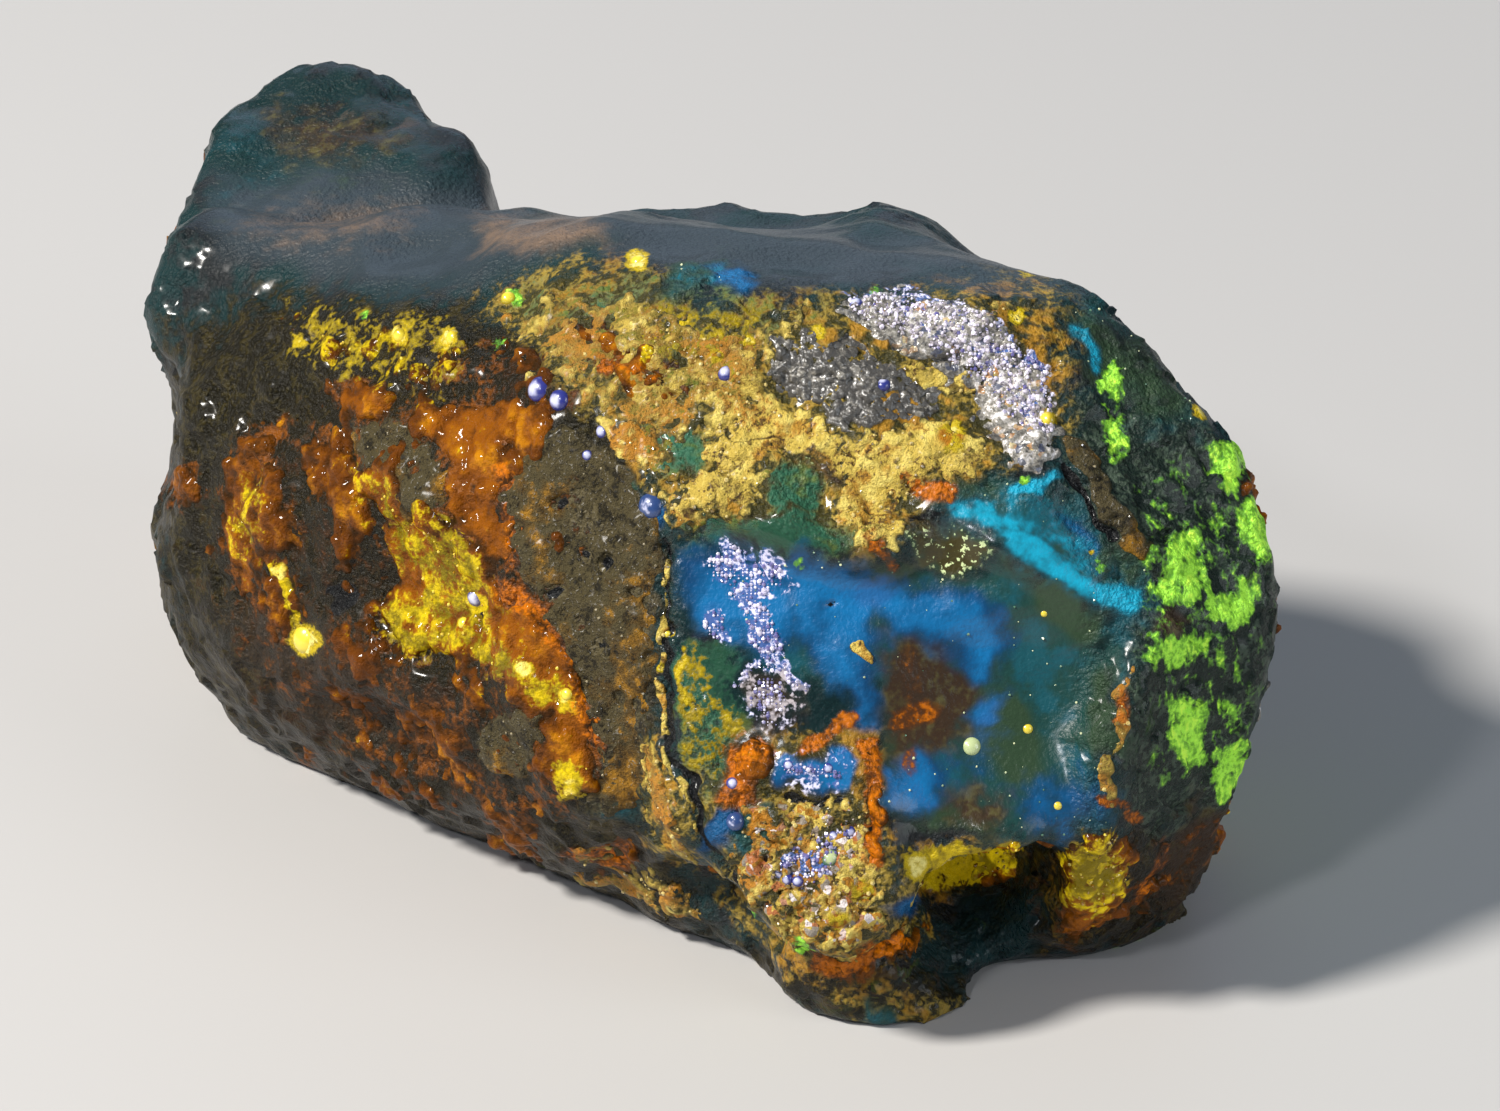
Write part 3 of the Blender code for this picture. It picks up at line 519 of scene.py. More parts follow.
# How far, in picture points, noise pushes a finish's outlines about.
OUTLINE_WANDER = {
    "gleam": 2.0, "blue": 13.0, "brown": 13.0, "teal": 16.0, "green": 12.0, "yellow": 10.0, "amber": 9.0}
USUAL_WANDER = 7.0


def from_segment(across, down, start, end):
    """The distance of each point from the stretch between two points."""
    run_x = end[0] - start[0]
    run_y = end[1] - start[1]
    along = ((across - start[0]) * run_x + (down - start[1]) * run_y) / (run_x ** 2 + run_y ** 2)
    along = np.clip(along, 0.0, 1.0)
    return np.hypot(across - start[0] - along * run_x, down - start[1] - along * run_y)


def inside_outline(across, down, outline):
    """How far, in picture points, each point lies inside the outline. Outside it is negative."""
    nearest = np.full(across.shape, np.inf)
    inside = np.zeros(across.shape, bool)
    for start, end in zip(outline, outline[1:] + outline[:1]):
        nearest = np.minimum(nearest, from_segment(across, down, start, end))
        if start[1] != end[1]:
            meets = (end[0] - start[0]) * (down - start[1]) / (end[1] - start[1]) + start[0]
            inside ^= ((start[1] > down) != (end[1] > down)) & (across < meets)
    return np.where(inside, nearest, -nearest)


def inside_streak(across, down, points, half_width):
    """How far, in picture points, each point lies inside the streak. Outside it is negative."""
    nearest = np.full(across.shape, np.inf)
    for start, end in zip(points, points[1:]):
        nearest = np.minimum(nearest, from_segment(across, down, start, end))
    return half_width - nearest


def near_points(across, down, points, margin):
    """Which points lie in the box round an outline or a streak, with a margin."""
    columns = [point[0] for point in points]
    rows = [point[1] for point in points]
    near = (across > min(columns) - margin) & (across < max(columns) + margin)
    return near & (down > min(rows) - margin) & (down < max(rows) + margin)


def painted(finish, across, down):
    """How strongly a finish shows at each point of the picture, from 0 to 1."""
    shown = np.zeros(across.shape)
    for _, strength, softness, outline in PATCHES.get(finish, ()):
        near = near_points(across, down, outline, softness)
        depth = inside_outline(across[near], down[near], outline)
        level = strength * np.clip(0.5 + depth / (2 * softness), 0.0, 1.0)
        shown[near] = np.maximum(shown[near], level)
    for _, strength, middle, radius in SPOTS.get(finish, ()):
        near = near_points(across, down, (middle,), 1.5 * radius)
        distance = np.hypot(across[near] - middle[0], down[near] - middle[1])
        shown[near] = np.maximum(shown[near], strength * np.clip(1.5 - distance / radius, 0.0, 1.0))
    for _, strength, half_width, points in STREAKS.get(finish, ()):
        near = near_points(across, down, points, 2 * half_width)
        depth = inside_streak(across[near], down[near], points, half_width)
        level = strength * np.clip(0.5 + depth / half_width, 0.0, 1.0)
        shown[near] = np.maximum(shown[near], level)
    return shown


# ---------------------------------------------------------------------------------------------
# Helpers for meshes
# ---------------------------------------------------------------------------------------------


def deselect_all():
    """Nothing selected and nothing active."""
    for thing in bpy.context.view_layer.objects:
        thing.select_set(False)
    bpy.context.view_layer.objects.active = None


def apply_modifier(piece, kind, **settings):
    """Adds a modifier of that kind to the piece and applies it."""
    deselect_all()
    piece.select_set(True)
    bpy.context.view_layer.objects.active = piece
    modifier = piece.modifiers.new(kind.title(), kind)
    for name, value in settings.items():
        setattr(modifier, name, value)
    bpy.ops.object.modifier_apply(modifier=modifier.name)


def new_piece(name, mesh):
    """An object for a mesh, at the origin."""
    piece = bpy.data.objects.new(name, mesh)
    bpy.context.scene.collection.objects.link(piece)
    return piece


def skin_places(piece):
    """The places of a piece's vertices, in millimetres."""
    flat = np.empty(len(piece.data.vertices) * 3, np.float32)
    piece.data.vertices.foreach_get("co", flat)
    return flat.reshape(-1, 3).astype(float) / MM


def skin_normals(piece):
    """The directions that a piece's skin faces at its vertices."""
    flat = np.empty(len(piece.data.vertices) * 3, np.float32)
    piece.data.vertex_normals.foreach_get("vector", flat)
    return flat.reshape(-1, 3).astype(float)


def set_places(piece, places):
    """Moves a piece's vertices to new places, given in millimetres."""
    piece.data.vertices.foreach_set("co", (places * MM).astype(np.float32).ravel())
    piece.data.update()


def store(piece, name, values):
    """Keeps a number for each vertex of a piece, for its material to read."""
    layer = piece.data.attributes.new(name, "FLOAT", "POINT")
    layer.data.foreach_set("value", np.asarray(values, np.float32))


def ease(values, low, high):
    """0 below low and 1 above high, with a smooth rise between."""
    t = np.clip((values - low) / (high - low), 0.0, 1.0)
    return t * t * (3.0 - 2.0 * t)


# ---------------------------------------------------------------------------------------------
# The stone's surface, as noise and finishes see it
# ---------------------------------------------------------------------------------------------

NOISE_SEEDS = (0x8DA6B343, 0xD8163841, 0xCB1AB31F)
SALT_STEP = 0x9E3779B1
MIXER = 0x2C1B3C6D
LARGEST = 0xFFFFFFFF
NOISE_SWING = 1.9
FACET_TURNS = (37.0, 23.0)


def mixed(lattice, salt):
    """A well-mixed whole number for each point of a lattice."""
    mix = np.full(lattice.shape[0], salt * SALT_STEP & LARGEST, np.uint32)
    for axis, seed in enumerate(NOISE_SEEDS):
        mix ^= lattice[:, axis].astype(np.int64).astype(np.uint32) * np.uint32(seed)
        mix ^= mix >> np.uint32(15)
        mix *= np.uint32(MIXER)
        mix ^= mix >> np.uint32(13)
    return mix


def dice_at(lattice, salt):
    """Three numbers from 0 to 1 for each point of a lattice."""
    return np.stack([mixed(lattice, salt + 101 * axis) / float(LARGEST) for axis in range(3)], axis=1)


def smooth_noise(places, size, salt):
    """Smooth noise from about -1 to 1, with lumps of about that size."""
    scaled = places / size
    corner = np.floor(scaled)
    within = scaled - corner
    fade = within ** 3 * (within * (within * 6.0 - 15.0) + 10.0)
    total = np.zeros(len(places))
    for step in np.ndindex(2, 2, 2):
        lattice = corner + step
        slope = dice_at(lattice, salt) * 2.0 - 1.0
        weight = np.prod(np.where(np.array(step) == 1, fade, 1.0 - fade), axis=1)
        total += weight * ((scaled - lattice) * slope).sum(axis=1)
    return total * NOISE_SWING


def cell_noise(places, size, salt):
    """For each place: the distance to the nearest cell middle, in cells, and that middle's place."""
    scaled = places / size
    corner = np.floor(scaled)
    nearest = np.full(len(places), np.inf)
    middles = np.zeros_like(places)
    for step in np.ndindex(3, 3, 3):
        lattice = corner + step - 1.0
        point = lattice + dice_at(lattice, salt)
        distance = np.sqrt(((scaled - point) ** 2).sum(axis=1))
        nearer = distance < nearest
        nearest[nearer] = distance[nearer]
        middles[nearer] = point[nearer]
    return nearest, middles * size


# On the sides that the camera doesn't see, each finish lies where noise rises above a level. Each
# finish has the size of the noise's lumps, the noise's salt, and that level.
HIDDEN_SIDES = {
    "crust": (6.0, 21, 0.12),
    "skin": (7.0, 33, 0.06),
    "amber": (4.6, 41, 0.10),
    "yellow": (2.6, 47, 0.32),
    "green": (4.0, 43, 0.14),
    "teal": (4.6, 61, 0.10),
    "blue": (4.0, 53, 0.31),
    "cyan": (3.0, 59, 0.46),
    "lime": (2.6, 67, 0.42),
    "ember": (2.0, 73, 0.46),
    "gleam": (1.2, 75, 0.66),
    "druse": (5.0, 79, 0.36),
    "pale": (4.0, 80, 0.10),
    "glitter": (4.0, 81, 0.56),
    "brown": (4.4, 83, 0.10),
    "dark": (3.0, 89, 0.50),
    "coarse": (3.8, 97, 0.10),
    "olive": (9.0, 103, -0.10),
    "mustard": (6.0, 21, 0.06),
    "rusty": (5.0, 127, 0.00),
    "rose": (5.0, 119, 0.20),
    "slate": (9.0, 107, 0.05),
    "gloss": (7.0, 109, 0.00),
}


# Each pair is where something starts, and where it is full.
SEEN_FACING = (-0.44, -0.16)
DROP_FACING = (0.04, 0.20)
ROOF_FACING = (0.12, 0.32)
ROOF_HEIGHT = (8.0, 10.0)
OFF_THE_FLOOR = (0.10, 0.55)
SHEEN_FACING = (0.35, 0.65)
SHEEN_HIDDEN = 0.6
HIDDEN_EDGE = 0.14


class Surface:
    """The vertices of a piece's skin, with the noise and the finishes that lie on them."""

    def __init__(self, piece):
        self.places = skin_places(piece)
        self.normals = skin_normals(piece)
        self.across, self.down = picture_points(self.places)
        self.known = {}
        facing = self.normals @ -np.array(AHEAD)
        self.seen = ease(facing + 0.16 * self.waves(1.3, 5), *SEEN_FACING)
        self.faced = ease(facing, *DROP_FACING)

    def waves(self, size, salt=1):
        """Smooth noise from about -1 to 1, with lumps of about that size."""
        if (size, salt) not in self.known:
            self.known[size, salt] = smooth_noise(self.places, size, salt)
        return self.known[size, salt]

    def above_floor(self):
        """0 on the flat face that the stone rests on, and 1 a little above it."""
        return ease(self.places[:, 2], *OFF_THE_FLOOR)

    def cells(self, size, salt):
        """For each vertex: the distance to its cell's middle, in cells, and that middle's place."""
        return cell_noise(self.places, size, salt)

    def finish(self, name):
        """One finish all round: as placed where the camera sees the stone, and natural elsewhere."""
        wander = OUTLINE_WANDER.get(name, USUAL_WANDER)
        wander_x = wander * (self.waves(1.3, 5) + 0.7 * self.waves(0.5, 9))
        wander_y = wander * (self.waves(1.3, 15) + 0.7 * self.waves(0.5, 19))
        shown = painted(name, self.across + wander_x, self.down + wander_y) * self.seen
        if name == "gleam":
            shown = shown * self.faced
        # On the hidden sides the sheen lies on faces that look upwards, as a painted reflection of sky on the
        # tops.
        if name == "sheen":
            hidden = SHEEN_HIDDEN * ease(self.normals[:, 2] + 0.3 * self.waves(3.4), *SHEEN_FACING)
        else:
            size, salt, level = HIDDEN_SIDES[name]
            hidden = ease(self.waves(size, salt) + 0.3 * self.waves(1.3, 5),
                          level - HIDDEN_EDGE, level + HIDDEN_EDGE)
            if name not in ("rose", "gloss"):
                roof = ease(self.normals[:, 2] + 0.2 * self.waves(3.4), *ROOF_FACING)
                hidden = hidden * (1.0 - roof * ease(self.places[:, 2], *ROOF_HEIGHT))
        return shown + hidden * (1.0 - self.seen)


# ---------------------------------------------------------------------------------------------
# The stone and the layers on it
# ---------------------------------------------------------------------------------------------

STONE_VOXEL = 0.20
STONE_SMOOTHING = 6
STONE_KEPT = 0.82
WELDED = 0.001
FOCUS_LEFT, FOCUS_RIGHT = 640, 1285
FOCUS_TOP, FOCUS_BOTTOM = 255, 1040
FOCUS_FACING = 0.02
FOCUS_HEIGHT = 0.2
GLASS_FINISHES = ("olive", "mustard", "gleam", "glitter", "rose", "slate", "gloss", "green", "brown", "teal",
                  "amber", "yellow", "blue", "cyan", "lime", "ember", "sheen", "dark", "skin")
SHEET_DEPTH = 0.30
SHEET_TUCK = 0.14
SHEET_KEPT = 0.56
UNTUCKED = 0.001 - SHEET_TUCK
COMING_OUT = (0.36, 0.48)
SWELLING = (0.46, 0.74)
FAINTEST = 0.10
COVERED = 0.02
SUNK = -0.05
MOST_TRIANGLES = 190000


def copied_solid(name):
    """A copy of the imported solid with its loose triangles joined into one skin."""
    mesh = frame["nodes"]["opal_lump"].data.copy()
    mesh.materials.clear()
    bm = bmesh.new()
    bm.from_mesh(mesh)
    bmesh.ops.remove_doubles(bm, verts=bm.verts, dist=WELDED * MM)
    bmesh.ops.recalc_face_normals(bm, faces=bm.faces)
    bm.to_mesh(mesh)
    bm.free()
    return new_piece(name, mesh)


def refine_front(stone):
    """Splits the faces in the part of the front that the camera sees best."""
    surface = Surface(stone)
    chosen = (surface.normals @ -np.array(AHEAD) > FOCUS_FACING) & (surface.places[:, 2] > FOCUS_HEIGHT)
    chosen &= (surface.across > FOCUS_LEFT) & (surface.across < FOCUS_RIGHT)
    chosen &= (surface.down > FOCUS_TOP) & (surface.down < FOCUS_BOTTOM)
    bm = bmesh.new()
    bm.from_mesh(stone.data)
    bm.verts.ensure_lookup_table()
    edges = [edge for edge in bm.edges if all(chosen[vert.index] for vert in edge.verts)]
    bmesh.ops.subdivide_edges(bm, edges=edges, cuts=1, use_grid_fill=True, smooth=1.0)
    bmesh.ops.triangulate(bm, faces=[face for face in bm.faces if len(face.verts) > 4])
    bm.to_mesh(stone.data)
    bm.free()


def stone_relief(surface):
    """How far the glass stands out of the solid's skin, in millimetres: shell-shaped breaks."""
    near_shell, _ = surface.cells(2.9, 11)
    _, middles = surface.cells(0.8, 17)
    rough = 1.0 - np.clip(surface.finish("gloss") + surface.finish("sheen"), 0.0, 1.0)
    shells = 0.14 * near_shell ** 2 - 0.04
    fine = surface.waves(0.5, 9)
    ripples = 0.03 * surface.waves(1.3, 5) + 0.008 * fine
    chips = 0.16 * facets(surface.places, middles) + 0.03 * fine + 0.02 * surface.waves(0.28, 3)
    return shells + ripples + rough * chips - 0.14 * surface.finish("dark")


def facets(places, middles):
    """The height of flat facets, one round each cell's middle and each tilted its own way."""
    tilt = np.sin(middles * FACET_TURNS[0] + middles[:, [1, 2, 0]] * FACET_TURNS[1])
    return ((places - middles) * tilt).sum(axis=1)


def make_stone():
    """The stone's fine skin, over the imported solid's shape, with its finishes stored on it."""
    stone = copied_solid("amber_opal")
    apply_modifier(stone, "REMESH", mode="VOXEL", voxel_size=STONE_VOXEL * MM, use_smooth_shade=True)
    apply_modifier(stone, "SMOOTH", factor=0.5, iterations=STONE_SMOOTHING)
    refine_front(stone)
    surface = Surface(stone)
    places = surface.places + surface.normals * (stone_relief(surface) * surface.above_floor())[:, None]
    places[:, 2] = np.maximum(places[:, 2], 0.0)
    set_places(stone, places)
    for name in GLASS_FINISHES:
        store(stone, name, surface.finish(name))
    store(stone, "drift", surface.waves(1.7, 113) + 0.4 * surface.waves(0.7, 117))
    return stone


def thin_out(piece, hidden, kept):
    """Merges faces round a piece's hidden vertices, down to a share of its faces, or to fewer where that
    share would leave more than MOST_TRIANGLES.
    """
    group = piece.vertex_groups.new(name="hidden")
    group.add(np.flatnonzero(hidden).tolist(), 1.0, "REPLACE")
    piece.data.calc_loop_triangles()
    kept = min(kept, MOST_TRIANGLES / len(piece.data.loop_triangles))
    apply_modifier(piece, "DECIMATE", vertex_group="hidden", ratio=kept)
    piece.vertex_groups.clear()


def with_neighbours(piece, chosen):
    """The chosen vertices of a piece and those that an edge joins to them."""
    ends = np.empty(len(piece.data.edges) * 2, np.int32)
    piece.data.edges.foreach_get("vertices", ends)
    ends = ends.reshape(-1, 2)
    spread = chosen.copy()
    spread[ends[chosen[ends].any(axis=1)]] = True
    return spread


def make_sheet(stone, name, finish, relief):
    """A thin closed layer on the stone where one finish shows, with its own relief.

    The layer's edge is tucked under the stone's skin, so it comes out along a ragged line. Which of
    the stone's vertices the layer covers is given back too.
    """
    coarse = Surface(stone)
    strength = coarse.finish(finish) * coarse.above_floor()
    coarse_height, _ = relief(coarse, strength)
    strong = strength > FAINTEST
    near = with_neighbours(stone, (coarse_height > UNTUCKED) & strong) & strong
    mesh = stone.data.copy()
    bm = bmesh.new()
    bm.from_mesh(mesh)
    bm.verts.ensure_lookup_table()
    bare = [face for face in bm.faces if not any(near[vert.index] for vert in face.verts)]
    bmesh.ops.delete(bm, geom=bare, context="FACES")
    bm.to_mesh(mesh)
    bm.free()
    for layer_name in (*GLASS_FINISHES, "drift"):
        mesh.attributes.remove(mesh.attributes[layer_name])
    sheet = new_piece(name, mesh)
    apply_modifier(sheet, "SUBSURF", levels=1, render_levels=1)
    surface = Surface(sheet)
    height, stored = relief(surface, surface.finish(finish) * surface.above_floor())
    outer = surface.places + surface.normals * height[:, None]
    outer[:, 2] = np.maximum(outer[:, 2], 0.0)
    apply_modifier(sheet, "SOLIDIFY", thickness=SHEET_DEPTH * MM, offset=-1.0, use_even_offset=False)
    places = skin_places(sheet)
    places[:len(outer)] = outer
    places[:, 2] = np.maximum(places[:, 2], 0.0)
    set_places(sheet, places)
    for layer_name, values in stored.items():
        padded = np.zeros(len(places))
        padded[:len(outer)] = values
        store(sheet, layer_name, padded)
    hidden = np.ones(len(places), bool)
    hidden[:len(outer)] = height < SUNK
    thin_out(sheet, hidden, SHEET_KEPT)
    return sheet, (coarse_height > COVERED) & strong


def risen(strength, thickness, ragged):
    """A layer's height and level: tucked under at its edge, out of the stone, then to its thickness."""
    level = strength + ragged
    return -SHEET_TUCK + SHEET_TUCK * ease(level, *COMING_OUT) + thickness * ease(level, *SWELLING), level


def finishes(surface, *names):
    """Several finishes of a surface, by their names."""
    return {name: surface.finish(name) for name in names}


def crust_relief(surface, strength):
    """Caked clay: low ledges, grit and cracks, with grains where it is coarse."""
    lumps = surface.waves(1.1, 25)
    flakes = surface.waves(0.42, 27)
    grit = surface.waves(0.19, 29)
    dust = surface.waves(0.11, 30)
    near, middles = surface.cells(0.27, 31)
    coarse = surface.finish("coarse")
    height, level = risen(strength, 0.04, 0.24 * lumps + 0.24 * flakes + 0.16 * grit)
    shown = ease(level, 0.44, 0.64)
    rough = lumps + 0.5 * flakes + 0.3 * grit
    ledges = np.floor(rough * 3.0) / 3.0 + ease(rough * 3.0 - np.floor(rough * 3.0), 0.55, 0.95) / 3.0
    cracks = 1.0 - ease(np.abs(surface.waves(0.8, 33) + 0.25 * flakes), 0.02, 0.08)
    cracks = cracks * ease(surface.waves(2.2, 34), -0.05, 0.25)
    relief = 0.036 * ledges + 0.020 * flakes + 0.016 * grit + 0.012 * dust - 0.028 * cracks
    relief = relief + coarse * (0.30 * facets(surface.places, middles) + 0.04 * (0.45 - near) + 0.03 * flakes)
    return height + shown * relief, {
        "height": relief / 0.11 + 0.5, "cracks": cracks, "coarse": coarse, "edge": level,
        **finishes(surface, "ember", "yellow", "green", "rusty", "brown", "gleam")}


def vein_relief(surface, strength):
    """Knobby amber: round knobs run together, with smaller ones and grit on them."""
    near, _ = surface.cells(0.80, 35)
    near_small, _ = surface.cells(0.34, 37)
    swell = surface.waves(1.6, 39)
    grit = surface.waves(0.19, 29)
    height, level = risen(strength, 0.10, 0.32 * swell + 0.36 * (0.45 - near) + 0.30 * (0.4 - near_small))
    shown = ease(level, 0.44, 0.66)
    relief = 0.15 * (0.5 - near) + 0.13 * (0.45 - near_small) + 0.06 * swell + 0.02 * grit
    return height + shown * relief, {
        "height": relief / 0.24 + 0.5, "edge": level, "strength": strength,
        **finishes(surface, "yellow", "ember", "gleam")}


def skin_relief(surface, strength):
    """Dull weathered skin: fine grit, and small round pits down to the glass."""
    grit = surface.waves(0.17, 29)
    grain = surface.waves(0.34, 45)
    swell = surface.waves(1.1, 49)
    near, middles = surface.cells(0.75, 51)
    chosen = np.sin(middles @ np.array((91.7, 47.3, 63.1))) > 0.40
    pits = np.maximum(chosen * (1.0 - ease(near, 0.14, 0.28)), surface.finish("dark"))
    height, level = risen(strength, 0.05, 0.22 * swell + 0.24 * grain)
    shown = ease(level, 0.44, 0.60)
    relief = 0.035 * swell + 0.028 * grain + 0.024 * grit - 0.30 * pits
    return height + shown * relief, {"pits": pits}


def druse_relief(surface, strength):
    """A crust of small crystals: flat facets, each tilted its own way."""
    near, middles = surface.cells(0.21, 55)
    swell = surface.waves(0.9, 57)
    height, level = risen(strength, 0.06, 0.24 * swell + 0.30 * surface.waves(0.34, 45))
    shown = ease(level, 0.44, 0.60)
    relief = 0.34 * facets(surface.places, middles) + 0.05 * swell + 0.06 * (0.4 - near)
    return height + shown * relief, finishes(surface, "pale")


# ---------------------------------------------------------------------------------------------
# Grains and beads
# ---------------------------------------------------------------------------------------------

BEAD_KINDS = ("glass", "blue glass", "green glass", "gold glass", "pale glass")
BEAD_STANDS = 0.80
BEAD_SUNK = 0.46
GRAIN_SHOWN = 0.45
GRAIN_LEAN = 0.4
GRAIN_STANDS = (0.6, 1.5)
GRAIN_ABOVE = 0.5

# Each kind of loose grain: its name, the piece that carries it, the finish that it lies on, how many
# there are, the smallest and the largest half width, its seed, and its dark and its light colour.
GRAINS = (
    # The pale and window grains run up to near white-lilac: partly the crystals' own colour and partly
    # painted glints.
    ("pale_grains", "crystal_crust", "glitter", 900, 0.030, 0.075, 3, (0.30, 0.27, 0.30), (0.86, 0.80, 0.95)),
    ("window_grains", "amber_opal", "glitter", 1700, 0.018, 0.078, 5, (0.14, 0.13, 0.34), (0.84, 0.80, 0.95)),
    ("crust_grains", "clay_crust", "crust", 1270, 0.020, 0.070, 7, (0.20, 0.13, 0.03), (0.66, 0.52, 0.18)),
    ("gold_grains", "amber_veins", "yellow", 520, 0.018, 0.060, 9, (0.40, 0.20, 0.004), (0.85, 0.66, 0.08)),
    ("window_specks", "amber_opal", "teal", 220, 0.012, 0.042, 13, (0.10, 0.22, 0.14), (0.75, 0.80, 0.48)),
    ("skin_grains", "weathered_skin", "skin", 520, 0.016, 0.045, 11, (0.020, 0.018, 0.012),
     (0.36, 0.30, 0.18)),
)


def primitive(add, **settings):
    """A primitive's vertices and faces, to be copied many times."""
    deselect_all()
    add(**settings)
    made = bpy.context.object
    corners = np.array([tuple(vert.co) for vert in made.data.vertices])
    faces = [tuple(face.vertices) for face in made.data.polygons]
    mesh = made.data
    bpy.data.objects.remove(made)
    bpy.data.meshes.remove(mesh)
    return corners, faces


def joined_copies(name, shape, spots):
    """One piece of many copies of a shape. A spot is a place, a turn with size, and a number kept.

    The height of each vertex on its own shape, from 0 to 1, is kept too.
    """
    corners, faces = shape
    all_corners = []
    all_faces = []
    tones = []
    for place, turn, tone in spots:
        start = len(all_corners) * len(corners)
        all_corners.append((corners @ np.array(turn).T + np.array(place)) * MM)
        all_faces.extend(tuple(start + corner for corner in face) for face in faces)
        tones.extend([tone] * len(corners))
    lowest, highest = corners[:, 2].min(), corners[:, 2].max()
    mesh = bpy.data.meshes.new(name)
    mesh.from_pydata(np.concatenate(all_corners).tolist(), [], all_faces)
    mesh.update()
    piece = new_piece(name, mesh)
    store(piece, "tone", tones)
    store(piece, "core", np.tile((corners[:, 2] - lowest) / (highest - lowest), len(all_corners)))
    return piece


def standing(normal, width, height, spin):
    """A turn that stands a shape on the skin, with its width and its height."""
    upright = Vector((0, 0, 1)).rotation_difference(normal).to_matrix()
    return upright @ Matrix.Rotation(spin, 3, "Z") @ Matrix.Diagonal((width, width, height))


def skin_tree_of(*pieces):
    """A tree of several pieces' faces, in millimetres, for finding where a sight line meets them."""
    corners = []
    faces = []
    for piece in pieces:
        start = len(corners)
        corners.extend(skin_places(piece).tolist())
        faces.extend([start + corner for corner in face.vertices] for face in piece.data.polygons)
    return BVHTree.FromPolygons(corners, faces)


def make_beads(skin_tree):
    """Glassy beads and drops, set on the stone where the camera sees them."""
    ball = primitive(bpy.ops.mesh.primitive_uv_sphere_add, segments=20, ring_count=12, radius=1.0)
    spots = []
    for _, (across, down), radius, kind in BEADS:
        place, normal, _, distance = skin_tree.ray_cast(CAMERA_AT, sight_line(across, down))
        width = radius * distance / POINTS_PER_SLOPE
        spots.append((place - normal * (BEAD_SUNK * width), standing(normal, width, width * BEAD_STANDS, 0.0),
                      BEAD_KINDS.index(kind)))
    beads = joined_copies("beads", ball, spots)
    beads.data.shade_smooth()
    return beads


def make_grains(piece_name, carrier, finish, count, smallest, largest, seed):
    """Small crystals, stood at random over the part of a piece that shows a finish."""
    dice = random.Random(seed)
    surface = Surface(carrier)
    shown = surface.finish(finish) * (surface.places[:, 2] > GRAIN_ABOVE)
    likely = np.flatnonzero(shown > GRAIN_SHOWN).tolist()
    pebble = primitive(bpy.ops.mesh.primitive_ico_sphere_add, subdivisions=1, radius=1.0)
    spots = []
    for index in dice.sample(likely, min(count, len(likely))):
        normal = Vector(surface.normals[index])
        lean = Vector([dice.gauss(0, GRAIN_LEAN) for _ in range(3)])
        width = smallest + (largest - smallest) * dice.random() ** 2
        turn = standing((normal + lean).normalized(), width, width * dice.uniform(*GRAIN_STANDS),
                        dice.uniform(0, math.tau))
        spots.append((surface.places[index], turn, dice.random()))
    return joined_copies(piece_name, pebble, spots)


# ---------------------------------------------------------------------------------------------
# Shader maths
# ---------------------------------------------------------------------------------------------


class Number:
    """A number socket that can be used in Python sums."""

    def __init__(self, recipe, socket):
        self.recipe = recipe
        self.socket = socket

    def sum_with(self, operation, first, second):
        """The number that a sum of two numbers gives."""
        node = self.recipe.add("ShaderNodeMath", {"operation": operation}, {0: first, 1: second})
        return Number(self.recipe, node.outputs[0])

    def __add__(self, other):
        return self.sum_with("ADD", self, other)

    def __radd__(self, other):
        return self.sum_with("ADD", other, self)

    def __sub__(self, other):
        return self.sum_with("SUBTRACT", self, other)

    def __rsub__(self, other):
        return self.sum_with("SUBTRACT", other, self)

    def __mul__(self, other):
        return self.sum_with("MULTIPLY", self, other)

    def __rmul__(self, other):
        return self.sum_with("MULTIPLY", other, self)


